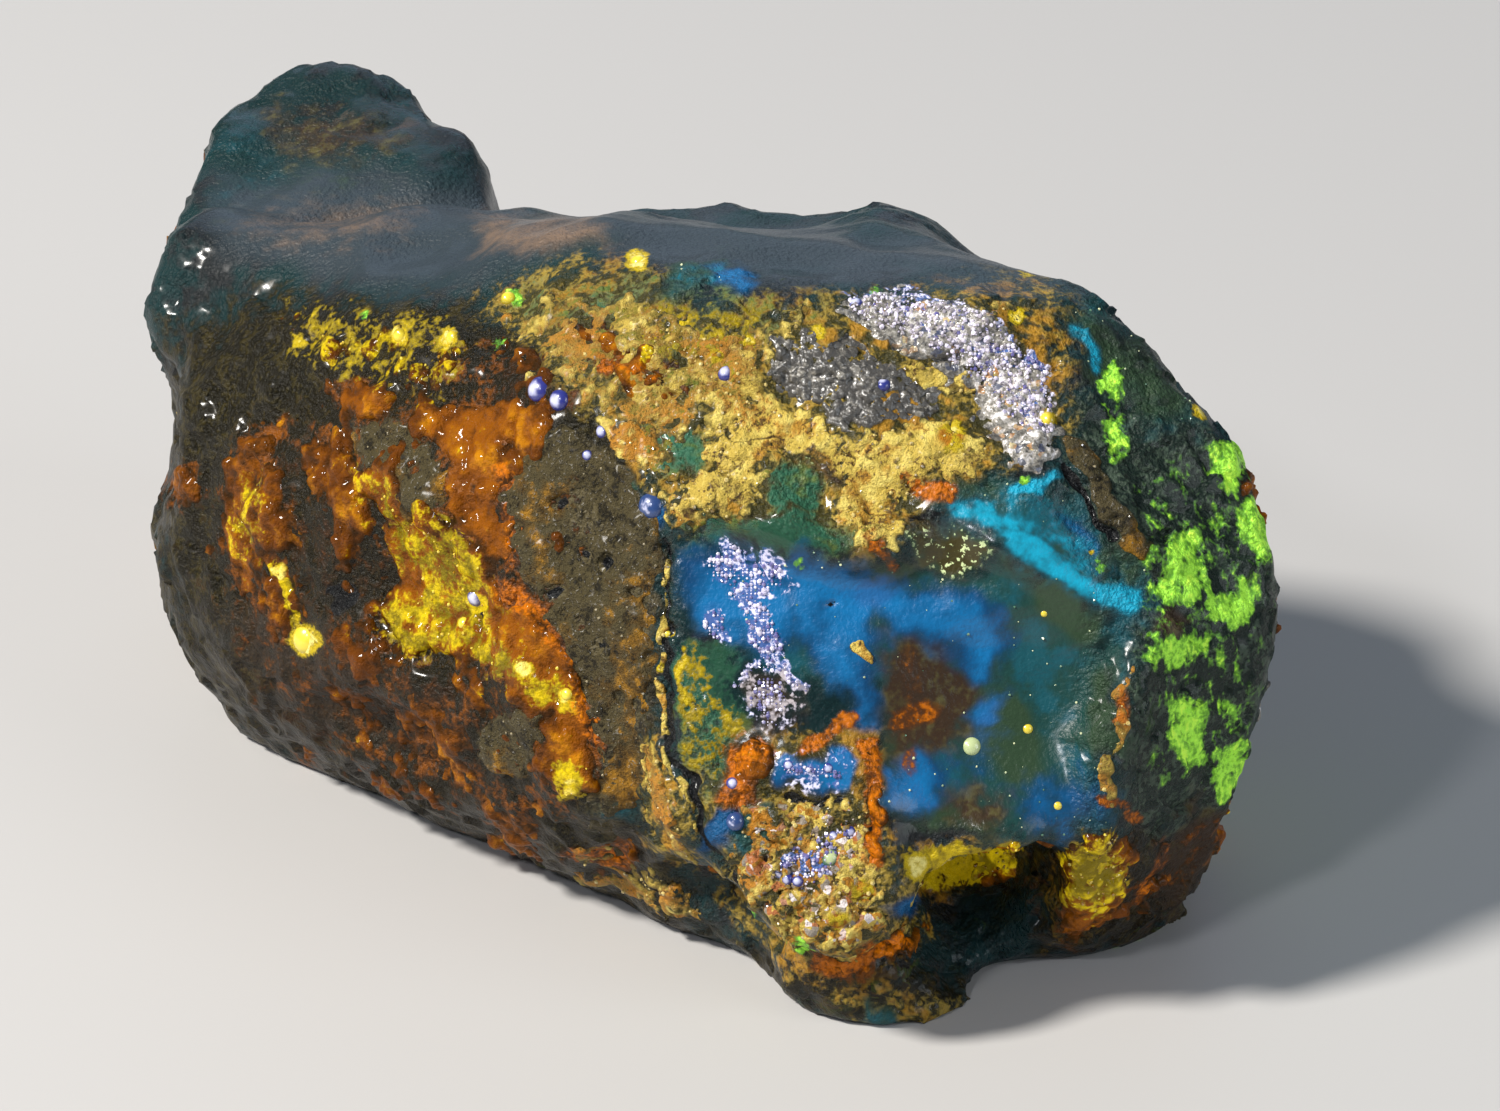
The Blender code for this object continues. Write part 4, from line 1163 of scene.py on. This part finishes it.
class Recipe:
    """A material being put together, node by node."""

    def __init__(self, name):
        self.material = bpy.data.materials.new(name)
        self.material.use_nodes = True
        self.material.cycles.emission_sampling = "NONE"
        self.tree = self.material.node_tree
        self.tree.nodes.clear()
        self.output = self.add("ShaderNodeOutputMaterial")
        self.place = self.add("ShaderNodeTexCoord").outputs["Object"]

    def add(self, kind, settings=None, inputs=None):
        """A node of that kind, with its settings set first and then its sockets."""
        node = self.tree.nodes.new(kind)
        for name, value in (settings or {}).items():
            setattr(node, name, value)
        for name, value in (inputs or {}).items():
            if isinstance(value, Number):
                value = value.socket
            if isinstance(value, bpy.types.NodeSocket):
                self.tree.links.new(value, node.inputs[name])
            elif isinstance(value, tuple) and node.inputs[name].type == "RGBA":
                node.inputs[name].default_value = (*value, 1.0)
            else:
                node.inputs[name].default_value = value
        return node

    def layer(self, name):
        """A number stored on the piece's skin."""
        return Number(self, self.add("ShaderNodeAttribute", {"attribute_name": name}).outputs["Fac"])

    def noise(self, size, detail=3.0, roughness=0.55, tall=1.0):
        """Noise from about -1 to 1 with lumps of about that size, in millimetres, drawn out upwards."""
        place = self.add("ShaderNodeMapping", None, {"Vector": self.place, "Scale": (1.0, 1.0, 1.0 / tall)})
        node = self.add("ShaderNodeTexNoise", None, {
            "Vector": place.outputs[0], "Scale": 1.0 / (size * MM), "Detail": detail, "Roughness": roughness})
        return Number(self, node.outputs["Fac"]) * 4.0 - 2.0

    def cell_number(self, size):
        """A number from 0 to 1 that is the same all over each cell of about that size."""
        node = self.add("ShaderNodeTexVoronoi", None, {"Vector": self.place, "Scale": 1.0 / (size * MM)})
        split = self.add("ShaderNodeSeparateColor", None, {"Color": node.outputs["Color"]})
        return Number(self, split.outputs[0])

    def ramp(self, number, low, high):
        """0 below low and 1 above high, with a smooth rise between."""
        node = self.add("ShaderNodeMapRange", {"interpolation_type": "SMOOTHSTEP"}, {
            "Value": number, "From Min": low, "From Max": high})
        return Number(self, node.outputs["Result"])

    def blend(self, first, second, share):
        """A colour between two, by a share from 0 to 1."""
        node = self.add("ShaderNodeMix", {"data_type": "RGBA"}, {0: share, 6: first, 7: second})
        return node.outputs[2]

    def coats(self, colour, *coats):
        """A colour under coats of others: each one's colour, the number that it follows, the levels where
        it starts and is full, and its share there.
        """
        for over, number, low, high, share in coats:
            shown = self.ramp(number, low, high)
            colour = self.blend(colour, over, shown if share == 1.0 else shown * share)
        return colour

    def bump(self, height, strength, distance):
        """A normal that is tilted by a height, over that many millimetres of depth."""
        return self.add("ShaderNodeBump", None, {
            "Height": height, "Strength": strength, "Distance": distance * MM}).outputs["Normal"]

    def shader(self, **inputs):
        """A Principled shader."""
        named = {name.replace("_", " "): value for name, value in inputs.items()}
        return self.add("ShaderNodeBsdfPrincipled", None, named).outputs[0]

    def finish(self, surface, volume=None):
        """Links the finished shader to the material's output."""
        self.tree.links.new(surface, self.output.inputs["Surface"])
        if volume is not None:
            self.tree.links.new(volume, self.output.inputs["Volume"])
        return self.material


# ---------------------------------------------------------------------------------------------
# Finishes
# ---------------------------------------------------------------------------------------------

BLACK = (0.0, 0.0, 0.0)
INK = (0.003, 0.004, 0.005)
DARK_TEAL = (0.008, 0.034, 0.036)
SMOKE = (0.016, 0.020, 0.022)
OLIVE_SHADE = (0.010, 0.008, 0.002)
OLIVE_LIGHT = (0.038, 0.029, 0.005)
MUSTARD_SHADE = (0.050, 0.044, 0.010)
MUSTARD_LIGHT = (0.360, 0.250, 0.040)
SLATE_SHADE = (0.010, 0.022, 0.016)
SLATE_LIGHT = (0.058, 0.088, 0.060)
MILKY_AND_SKY_SHEEN_BLUE = (0.036, 0.050, 0.060)
MILKY_AND_SHEEN_PINK = (0.190, 0.130, 0.090)
DEEP_BROWN = (0.036, 0.020, 0.010)
OLIVE_BROWN = (0.078, 0.068, 0.024)
BOTTLE_GREEN = (0.034, 0.140, 0.078)
MOSS = (0.150, 0.180, 0.018)
DEEP_BLUE = (0.003, 0.042, 0.120)
ROYAL_BLUE = (0.028, 0.066, 0.210)
SKY_BLUE = (0.005, 0.140, 0.350)
CYAN = (0.008, 0.330, 0.500)
LAGOON = (0.006, 0.085, 0.120)
TEAL = (0.010, 0.047, 0.041)
SEA_GREEN = (0.024, 0.050, 0.024)
LIME = (0.330, 0.720, 0.060)
LEAF = (0.050, 0.200, 0.018)
AMBER = (0.190, 0.055, 0.001)
HONEY = (0.410, 0.156, 0.001)
RUST = (0.100, 0.027, 0.001)
UMBER = (0.022, 0.009, 0.001)
LEMON = (0.480, 0.350, 0.004)
OLIVE_GOLD = (0.130, 0.095, 0.003)
PALE_GOLD = (0.800, 0.700, 0.220)
GOLD_BEAD_PAINTED_HIGHLIGHT = (0.950, 0.760, 0.060)
PALE_GREEN = (0.300, 0.400, 0.120)
MILKY_GREEN = (0.620, 0.720, 0.360)
EMBER = (0.480, 0.125, 0.001)
TAN = (0.600, 0.435, 0.074)
STRAW = (0.820, 0.655, 0.155)
OCHRE = (0.450, 0.215, 0.014)
ORANGE_CLAY = (0.480, 0.190, 0.012)
RUST_CLAY = (0.230, 0.100, 0.010)
CLAY_SHADE = (0.120, 0.066, 0.014)
GREY_SKIN = (0.085, 0.068, 0.030)
BROWN_SKIN = (0.115, 0.062, 0.011)
DARK_SKIN = (0.018, 0.015, 0.008)
GREY_GRAIN = (0.300, 0.280, 0.240)
DARK_GRAIN = (0.070, 0.066, 0.060)
PAINTED_GLITTER_DARK = (0.060, 0.120, 0.330)
PAINTED_GLITTER_LIGHT = (0.700, 0.690, 0.900)
WARM_PAINTED_GLITTER = (0.360, 0.290, 0.220)
# Painted glow: emission colours, brighter than any surface colour, that make flashes and veins give off light
# though no lamp is there.
GLOWING_YELLOW = (1.500, 1.050, 0.010)
GLOWING_LIME = (0.900, 2.000, 0.110)
YELLOW_LIME = (0.560, 0.880, 0.080)
BEAD_RIM = (0.030, 0.040, 0.260)
BEAD_PAINTED_HIGHLIGHT = (0.700, 0.720, 0.960)
LILAC_GRAIN = (0.900, 0.860, 0.860)
FLOOR_GREY = (0.520, 0.510, 0.500)


def glass_finish():
    """Dark amber glass with flashes of colour in it, brighter in their middles than at their edges, and given
    a painted glow of emission.
    """
    mix = Recipe("opal_glass")
    fine = mix.noise(0.13, 2.0)
    grain = mix.noise(0.50, 2.0, 0.65)
    drift = mix.layer("drift")
    tiles = mix.cell_number(0.40) - 0.5
    gloss = mix.layer("gloss")

    def level(name, wander, grit, facets=0.0):
        """A finish's layer, its edge wandering with noise."""
        layer = mix.layer(name)
        return layer + (wander * grain + grit * fine + facets * tiles) * mix.ramp(layer, 0.0, 0.4)

    def share(number, width=0.10):
        """How much of a finish shows at a level."""
        return mix.ramp(number, 0.5 - width, 0.5 + width)

    speckle = mix.ramp(fine + grain, -0.2, 0.8)
    body = mix.blend(DARK_TEAL, SMOKE, mix.ramp(drift + 0.5 * grain, -0.2, 0.5))
    # Olive glass, darkened further on the left flank and the feet as painted shade.
    body = mix.blend(body, mix.blend(OLIVE_SHADE, OLIVE_LIGHT, speckle), share(level("olive", 0.3, 0.1), 0.3))
    body = mix.blend(body, mix.blend(SLATE_SHADE, SLATE_LIGHT, speckle), share(level("slate", 0.3, 0.1), 0.2))
    mustard = mix.blend(MUSTARD_SHADE, MUSTARD_LIGHT, mix.ramp(fine + 1.5 * grain, -0.4, 1.0))
    mustard = mix.blend(mustard, OCHRE, mix.ramp(drift + grain, 0.1, 0.9) * 0.8)
    body = mix.blend(body, mustard, share(level("mustard", 0.4, 0.2), 0.3))
    # Where the sheen lies, the top takes a milky blue-grey that is partly the glass's own milkiness and
    # partly a painted reflection of sky.
    milky_and_painted_sheen = mix.blend(MILKY_AND_SKY_SHEEN_BLUE, MILKY_AND_SHEEN_PINK, mix.ramp(mix.layer("rose") + 0.2 * grain, 0.20, 0.90))
    body = mix.blend(body, milky_and_painted_sheen, mix.ramp(mix.layer("sheen") + 0.2 * drift, 0.2, 0.9))
    green = mix.blend(BOTTLE_GREEN, MOSS, mix.ramp(drift + grain, 0.0, 0.9) * 0.7)
    body = mix.blend(body, green, share(level("green", 0.45, 0.20), 0.25))
    body = mix.blend(body, mix.blend(GREY_SKIN, DARK_SKIN, speckle), share(level("skin", 0.30, 0.20), 0.2))

    window = level("teal", 0.18, 0.04)
    brown = level("brown", 0.30, 0.03)
    blue = level("blue", 0.16, 0.02)
    cyan = level("cyan", 0.24, 0.05)
    strokes = mix.noise(0.26, 2.0, 0.6, 3.5)
    lime = level("lime", 0.25, 0.20, 0.30) + 0.42 * strokes * mix.ramp(mix.layer("lime"), 0.0, 0.4)
    amber = level("amber", 0.45, 0.20)
    yellow = level("yellow", 0.50, 0.30)
    ember = level("ember", 0.34, 0.16)
    gleam = level("gleam", 0.15, 0.15)
    # The glitter is a painted reflection: a pale lilac haze and flecks that stand in for glints of light.
    painted_glitter = level("glitter", 0.70, 0.55, 0.60)

    window_colour = mix.blend(TEAL, SEA_GREEN, mix.ramp(drift, -0.1, 0.5))
    window_colour = mix.blend(window_colour, LAGOON, mix.ramp(0.4 * grain - drift, 0.0, 0.6) * 0.6)
    brown_colour = mix.blend(DEEP_BROWN, OLIVE_BROWN, mix.ramp(grain + 0.3 * fine, -0.1, 0.9))
    mossy = mix.ramp(mix.layer("green"), 0.3, 0.7)
    brown_colour = mix.blend(brown_colour, MUSTARD_SHADE, 0.7 * mossy)
    brown_colour = mix.blend(brown_colour, MILKY_GREEN, mix.ramp(fine + 0.4 * tiles, 0.30, 0.62) * mossy)
    blue_colour = mix.blend(DEEP_BLUE, SKY_BLUE, mix.ramp(blue + 0.35 * drift, 0.40, 1.20))
    blue_colour = mix.blend(blue_colour, ROYAL_BLUE, mix.ramp(drift + 0.3 * grain, 0.20, 0.90) * 0.4)
    cyan_colour = mix.blend(LAGOON, CYAN, mix.ramp(cyan, 0.45, 1.05))
    lime_colour = mix.blend(LEAF, mix.blend(LIME, YELLOW_LIME, mix.ramp(strokes + 0.5 * fine, 0.2, 0.9)),
                            mix.ramp(lime + 0.3 * fine, 0.55, 1.10))
    amber_colour = mix.blend(UMBER, AMBER, mix.ramp(amber + 0.3 * drift, 0.45, 1.10))
    yellow_colour = mix.blend(OLIVE_GOLD, LEMON, mix.ramp(yellow, 0.55, 1.20))
    ember_colour = mix.blend(RUST, EMBER, mix.ramp(ember + 0.20 * fine, 0.50, 1.15))
    painted_glitter_colour = mix.blend(PAINTED_GLITTER_DARK, PAINTED_GLITTER_LIGHT, mix.ramp(fine + tiles, 0.15, 0.75))
    painted_glitter_colour = mix.blend(painted_glitter_colour, WARM_PAINTED_GLITTER, mix.ramp(brown, 0.2, 0.6) * 0.7)
    # Gleam runs to pale gold in its middles: a painted glint over the yellow.
    gleam_colour = mix.blend(OLIVE_GOLD, mix.blend(LEMON, PALE_GOLD, mix.ramp(gleam, 0.75, 1.05)),
                             mix.ramp(gleam, 0.40, 0.75))

    # Each flash, from the lowest up: its colour, its level, how soft its edge is, and its own light, a
    # painted glow that it gives off as emission.
    colour = body
    flashes = BLACK
    unlit = 1.0
    for flash, its_level, softness, light in (
            (window_colour, window, 0.30, window_colour), (brown_colour, brown, 0.32, brown_colour),
            (amber_colour, amber, 0.16, amber_colour), (yellow_colour, yellow, 0.14, GLOWING_YELLOW),
            (blue_colour, blue, 0.30, blue_colour), (cyan_colour, cyan, 0.34, cyan_colour),
            (lime_colour, lime, 0.20, GLOWING_LIME), (ember_colour, ember, 0.28, ember_colour),
            (painted_glitter_colour, painted_glitter, 0.22, painted_glitter_colour), (gleam_colour, gleam, 0.12, gleam_colour)):
        shown = share(its_level, softness)
        colour = mix.blend(colour, flash, shown)
        flashes = mix.blend(flashes, light, shown)
        unlit = unlit * (1.0 - shown)
    # Dark: near-black over the flashes, mostly painted shade in hollows, pits, the seam and grooves; the
    # flashes' glow is taken away there too.
    dark = share(level("dark", 0.2, 0.1))
    colour = mix.blend(colour, INK, dark)
    glow = mix.blend(flashes, BLACK, dark)

    glazed = mix.shader(
        Base_Color=colour, Roughness=0.50 - 0.16 * gloss, IOR=1.46, Specular_IOR_Level=0.25,
        Coat_Weight=(0.10 + 0.42 * gloss) * (1.0 - 0.5 * mix.layer("sheen")),
        Coat_Roughness=0.18, Coat_IOR=1.46, Emission_Color=glow, Emission_Strength=0.09,
        Normal=mix.bump(fine * (1.0 - 0.8 * gloss), 0.8, 0.05))
    clear = mix.shader(Base_Color=(1.0, 1.0, 1.0), Roughness=0.13, IOR=1.45, Transmission_Weight=1.0)
    see_through = unlit * (0.16 + 0.36 * gloss) * (1.0 - mix.layer("sheen")) * (1.0 - mix.layer("skin"))
    surface = mix.add("ShaderNodeMixShader", None, {0: see_through, 1: glazed, 2: clear})
    depth = mix.add("ShaderNodeVolumeAbsorption", None, {"Color": (0.78, 0.42, 0.10), "Density": 480.0})
    return mix.finish(surface.outputs[0], depth.outputs[0])


def crust_finish():
    """Tan clay, mottled with ochre and olive, with coloured grains where it is coarse; lighter on its high
    places and darker in its low places and cracks, as painted highlight and shade.
    """
    mix = Recipe("clay_crust")
    fine = mix.noise(0.09, 3.0, 0.65)
    grain = mix.noise(0.36, 3.0, 0.6)
    patch = mix.noise(1.4, 3.0)
    tiles = mix.cell_number(0.20)
    height = mix.layer("height")
    coarse = mix.layer("coarse")
    # Straw rises with the crust's height: partly its own mottling, partly painted highlight on the high
    # places.
    colour = mix.coats(
        TAN, (STRAW, height + 0.35 * grain + 0.3 * patch, 0.35, 0.85, 1.0),
        (OCHRE, patch + 0.7 * grain, 0.15, 0.75, 0.85))
    rust = mix.blend(RUST_CLAY, ORANGE_CLAY, mix.ramp(grain + 0.5 * patch, -0.3, 0.6))
    rust = mix.blend(rust, OLIVE_GOLD, mix.ramp(0.6 * grain - patch - fine, 0.1, 0.7))
    mossy = mix.blend(MUSTARD_SHADE, MOSS, mix.ramp(grain, -0.2, 0.6))
    yellow = mix.blend(OLIVE_GOLD, LEMON, mix.ramp(grain, 0.0, 0.8))
    ember = mix.blend(EMBER, RUST, mix.ramp(fine - 0.5 * grain, 0.0, 0.7))
    brown = mix.blend(RUST_CLAY, UMBER, mix.ramp(grain + fine, -0.2, 0.7))
    golden = mix.blend(HONEY, LEMON, mix.ramp(grain + height, 0.3, 0.9))
    chosen = tiles * coarse
    colour = mix.coats(
        colour,
        (rust, mix.layer("rusty") + 0.7 * grain + 0.4 * patch, 0.30, 0.95, 0.85),
        (MUSTARD_LIGHT, 0.8 * grain - patch, 0.25, 0.80, 0.8),
        (CLAY_SHADE, grain + 0.5 * fine - 0.3 * patch, 0.45, 0.95, 0.7),
        (mossy, mix.layer("green") + 0.5 * grain + 0.2 * fine, 0.40, 0.80, 0.9),
        (yellow, mix.layer("yellow") + 0.6 * grain + 0.2 * fine, 0.50, 0.95, 0.7),
        (ember, mix.layer("ember") + 0.6 * grain, 0.45, 1.10, 0.8),
        (brown, mix.layer("brown") + 0.4 * grain, 0.35, 0.75, 0.85),
        (HONEY, chosen, 0.56, 0.62, 0.9), (GREY_GRAIN, chosen, 0.70, 0.74, 0.9),
        (EMBER, chosen, 0.80, 0.84, 0.8), (LILAC_GRAIN, chosen, 0.90, 0.94, 0.8),
        # The next two coats darken the low places and the cracks: painted shade.
        (CLAY_SHADE, 0.30 * fine + 0.2 * grain - height, -0.36, -0.04, 1.0),
        (UMBER, mix.layer("cracks"), 0.3, 0.9, 0.7),
        (golden, mix.layer("gleam") + 0.3 * grain, 0.35, 0.75, 1.0))
    rim = mix.blend(MUSTARD_SHADE, MUSTARD_LIGHT, mix.ramp(fine + grain, -0.2, 1.0))
    colour = mix.blend(rim, colour, mix.ramp(mix.layer("edge") + 0.15 * grain, 0.46, 0.66))
    surface = mix.shader(
        Base_Color=colour, Roughness=0.62, Specular_IOR_Level=0.3, Coat_Weight=0.12, Coat_Roughness=0.25,
        Normal=mix.bump(fine, 0.8, 0.05))
    return mix.finish(surface)


def vein_finish():
    """Amber veins: dark where they are thin, honey on the knobs, yellow and ember in places; the knob tops
    are partly a painted highlight, and the veins give off a painted glow as emission.
    """
    mix = Recipe("amber_veins")
    fine = mix.noise(0.10, 3.0)
    grain = mix.noise(0.45, 3.0, 0.6)
    patch = mix.noise(1.5, 2.0)
    height = mix.layer("height") + 0.22 * grain
    glowing = mix.ramp(mix.layer("strength") + 0.35 * grain + 0.15 * patch, 0.42, 1.00)
    # Lighter with the knobs' height: partly the amber's own depth of colour, partly painted highlight on the
    # tops and painted shade in the dips.
    dark = mix.blend(UMBER, RUST, mix.ramp(height, 0.20, 0.90))
    bright = mix.blend(RUST, AMBER, mix.ramp(height, 0.05, 0.55))
    bright = mix.blend(bright, HONEY, mix.ramp(height + 0.3 * patch, 0.55, 1.10))
    colour = mix.blend(dark, bright, glowing)
    yellow = mix.blend(OLIVE_GOLD, LEMON, mix.ramp(height + 0.25 * fine, 0.35, 0.95))
    golden = mix.ramp(mix.layer("yellow") + 0.55 * grain + 0.2 * fine, 0.38, 0.80)
    ember = mix.blend(RUST, EMBER, mix.ramp(height + 0.3 * fine, 0.10, 0.80))
    drop = mix.blend(LEMON, PALE_GOLD, mix.ramp(height, 0.5, 1.0))
    colour = mix.coats(
        mix.blend(colour, yellow, golden),
        (ember, mix.layer("ember") + 0.4 * grain + 0.3 * fine, 0.50, 1.10, 0.9),
        (drop, mix.layer("gleam") + 0.2 * grain, 0.45, 0.75, 1.0))
    colour = mix.blend(UMBER, colour, mix.ramp(mix.layer("edge") + 0.1 * grain, 0.42, 0.60))
    # Painted glow: the veins give off their colour, yellower where golden, as emission though they are no
    # lamp.
    glow = mix.blend(colour, GLOWING_YELLOW, golden * mix.ramp(height, 0.2, 0.9) * 0.20)
    surface = mix.shader(
        Base_Color=colour, Roughness=0.42, IOR=1.5, Specular_IOR_Level=0.08, Coat_Weight=0.18,
        Coat_Roughness=0.10, Emission_Color=glow, Emission_Strength=0.52, Normal=mix.bump(fine, 0.7, 0.05))
    return mix.finish(surface)


def skin_finish():
    """Dull grey-brown weathered skin."""
    mix = Recipe("weathered_skin")
    fine = mix.noise(0.08, 3.0, 0.65)
    grain = mix.noise(0.34, 3.0, 0.65)
    patch = mix.noise(1.6, 3.0)
    colour = mix.coats(
        GREY_SKIN, (BROWN_SKIN, patch + 0.5 * grain, 0.0, 0.7, 1.0),
        (DARK_SKIN, 0.9 * grain + 0.6 * fine - 0.4 * patch, 0.00, 0.80, 1.0),
        (OCHRE, patch - 0.6 * grain, 0.25, 0.85, 0.75),
        (GREY_GRAIN, fine - 0.3 * grain, 0.45, 0.80, 0.8))
    # The pits are painted near-black: painted shade in them.
    colour = mix.blend(colour, INK, mix.layer("pits"))
    surface = mix.shader(
        Base_Color=colour, Roughness=0.52, IOR=1.5, Specular_IOR_Level=0.16, Coat_Weight=0.10,
        Coat_Roughness=0.20, Normal=mix.bump(fine, 0.9, 0.05))
    return mix.finish(surface)


def druse_finish():
    """Small grey crystals, dark at one end and lilac-white at the other."""
    mix = Recipe("crystal_crust")
    fine = mix.noise(0.09, 2.0)
    grain = mix.noise(0.35, 3.0, 0.6)
    tiles = mix.cell_number(0.17)
    pale = mix.layer("pale")
    light = pale + 0.5 * grain + 0.5 * tiles + 0.3 * fine
    golden = mix.blend(HONEY, LEMON, mix.ramp(grain, -0.2, 0.4))
    colour = mix.coats(
        DARK_GRAIN, (GREY_GRAIN, light, 0.30, 1.00, 1.0), (LILAC_GRAIN, light, 0.85, 1.45, 1.0),
        (golden, tiles, 0.93, 0.96, pale), (ROYAL_BLUE, 0.10 - tiles, 0.02, 0.05, pale * 0.6))
    surface = mix.shader(Base_Color=colour, Roughness=0.26, IOR=1.5, Coat_Weight=0.6, Coat_Roughness=0.12,
                         Normal=mix.bump(fine, 0.5, 0.03))
    return mix.finish(surface)


def grain_finish(name, dark, light):
    """Loose small crystals, from dark to light."""
    mix = Recipe(name)
    tone = mix.layer("tone")
    colour = mix.blend(dark, light, mix.ramp(tone + 0.2 * mix.noise(0.1, 2.0), 0.25, 0.75))
    surface = mix.shader(Base_Color=colour, Roughness=0.20, IOR=1.54, Coat_Weight=1.0, Coat_Roughness=0.08)
    return mix.finish(surface)


def bead_finish():
    """Glassy beads: a rim of each bead's own colour, a pale core at each bead's top that is a painted
    highlight, and a painted glow of emission.
    """
    mix = Recipe("beads")
    kind = mix.layer("tone")
    # The core follows the height on each bead's own shape: its pale middles are painted highlights.
    core = mix.layer("core") + 0.06 * mix.noise(0.2, 2.0)
    colour = mix.blend(BEAD_RIM, BEAD_PAINTED_HIGHLIGHT, mix.ramp(core, 0.84, 1.02))
    others = ((ROYAL_BLUE, BEAD_PAINTED_HIGHLIGHT, 0.94), (BOTTLE_GREEN, MILKY_GREEN, 0.80), (LEMON, GOLD_BEAD_PAINTED_HIGHLIGHT, 0.60),
              (PALE_GREEN, MILKY_GREEN, 0.55))
    for place, (rim, middle, start) in enumerate(others):
        own = mix.blend(rim, middle, mix.ramp(core, start, 1.0))
        colour = mix.blend(colour, own, mix.ramp(kind, place + 0.4, place + 0.6))
    glazed = mix.shader(
        Base_Color=colour, Roughness=0.30, IOR=1.5, Coat_Weight=1.0, Coat_Roughness=0.14,
        Emission_Color=colour, Emission_Strength=0.12)
    clear = mix.shader(Base_Color=(0.9, 0.95, 1.0), Roughness=0.05, IOR=1.45, Transmission_Weight=1.0)
    surface = mix.add("ShaderNodeMixShader", None, {0: 0.20, 1: glazed, 2: clear})
    return mix.finish(surface.outputs[0])


# ---------------------------------------------------------------------------------------------
# Floor and light
# ---------------------------------------------------------------------------------------------


def set_stage():
    """A plain pale floor under soft light, with the main light from the upper left."""
    deselect_all()
    bpy.ops.mesh.primitive_plane_add(size=FLOOR_WIDE * MM, location=(0, 0, 0))
    floor = bpy.context.object
    floor.name = "floor"
    pale = Recipe("pale_floor")
    floor.data.materials.append(pale.finish(pale.shader(Base_Color=FLOOR_GREY, Roughness=0.8)))

    world = bpy.data.worlds.new("room")
    bpy.context.scene.world = world
    world.use_nodes = True
    background = world.node_tree.nodes["Background"]
    background.inputs["Color"].default_value = (*ROOM_COLOUR, 1.0)
    background.inputs["Strength"].default_value = ROOM_LIGHT

    lamp("key", (-250.0, -90.0, 290.0), 60.0, 2.3, (1.0, 0.96, 0.90))
    lamp("glint", (-160.0, -260.0, 260.0), 44.0, 0.26, (0.92, 0.94, 1.0))
    lamp("sky", (40.0, 420.0, 240.0), 420.0, 0.35, (0.60, 0.76, 1.0))
    lamp("fill", (300.0, -180.0, 140.0), 220.0, 0.4, (0.9, 0.95, 1.0))


def lamp(name, place, size, power, colour):
    """A round lamp of that size at that place, in millimetres, turned to the lump's middle."""
    light = bpy.data.lights.new(name, "AREA")
    light.shape = "DISK"
    light.size = size * MM
    light.energy = power
    light.color = colour
    thing = bpy.data.objects.new(name, light)
    bpy.context.scene.collection.objects.link(thing)
    thing.location = Vector(place) * MM
    thing.rotation_mode = "QUATERNION"
    thing.rotation_quaternion = (LOOK_AT - Vector(place)).to_track_quat("-Z", "Y")


def keep(piece, material):
    """Gives a piece its finish and its place on the one body."""
    piece.data.materials.append(material)
    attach(piece, "root")


set_camera()
set_stage()
stone = make_stone()
pieces = {"amber_opal": stone}
covered = np.zeros(len(stone.data.vertices), bool)
for sheet_name, sheet_finish, sheet_relief in (
        ("clay_crust", "crust", crust_relief), ("amber_veins", "amber", vein_relief),
        ("weathered_skin", "skin", skin_relief), ("crystal_crust", "druse", druse_relief)):
    pieces[sheet_name], under = make_sheet(stone, sheet_name, sheet_finish, sheet_relief)
    covered |= under
pieces["beads"] = make_beads(skin_tree_of(*pieces.values()))
for grain_name, carrier, *choices in GRAINS:
    pieces[grain_name] = make_grains(grain_name, pieces[carrier], *choices[:5])
thin_out(stone, covered, STONE_KEPT)

for piece_name, material in (
        ("amber_opal", glass_finish()), ("clay_crust", crust_finish()), ("amber_veins", vein_finish()),
        ("weathered_skin", skin_finish()), ("crystal_crust", druse_finish()), ("beads", bead_finish())):
    keep(pieces[piece_name], material)
for grain_name, *_, dark, light in GRAINS:
    keep(pieces[grain_name], grain_finish(grain_name, dark, light))
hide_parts("opal_lump")

bpy.context.scene.view_settings.view_transform = "Standard"
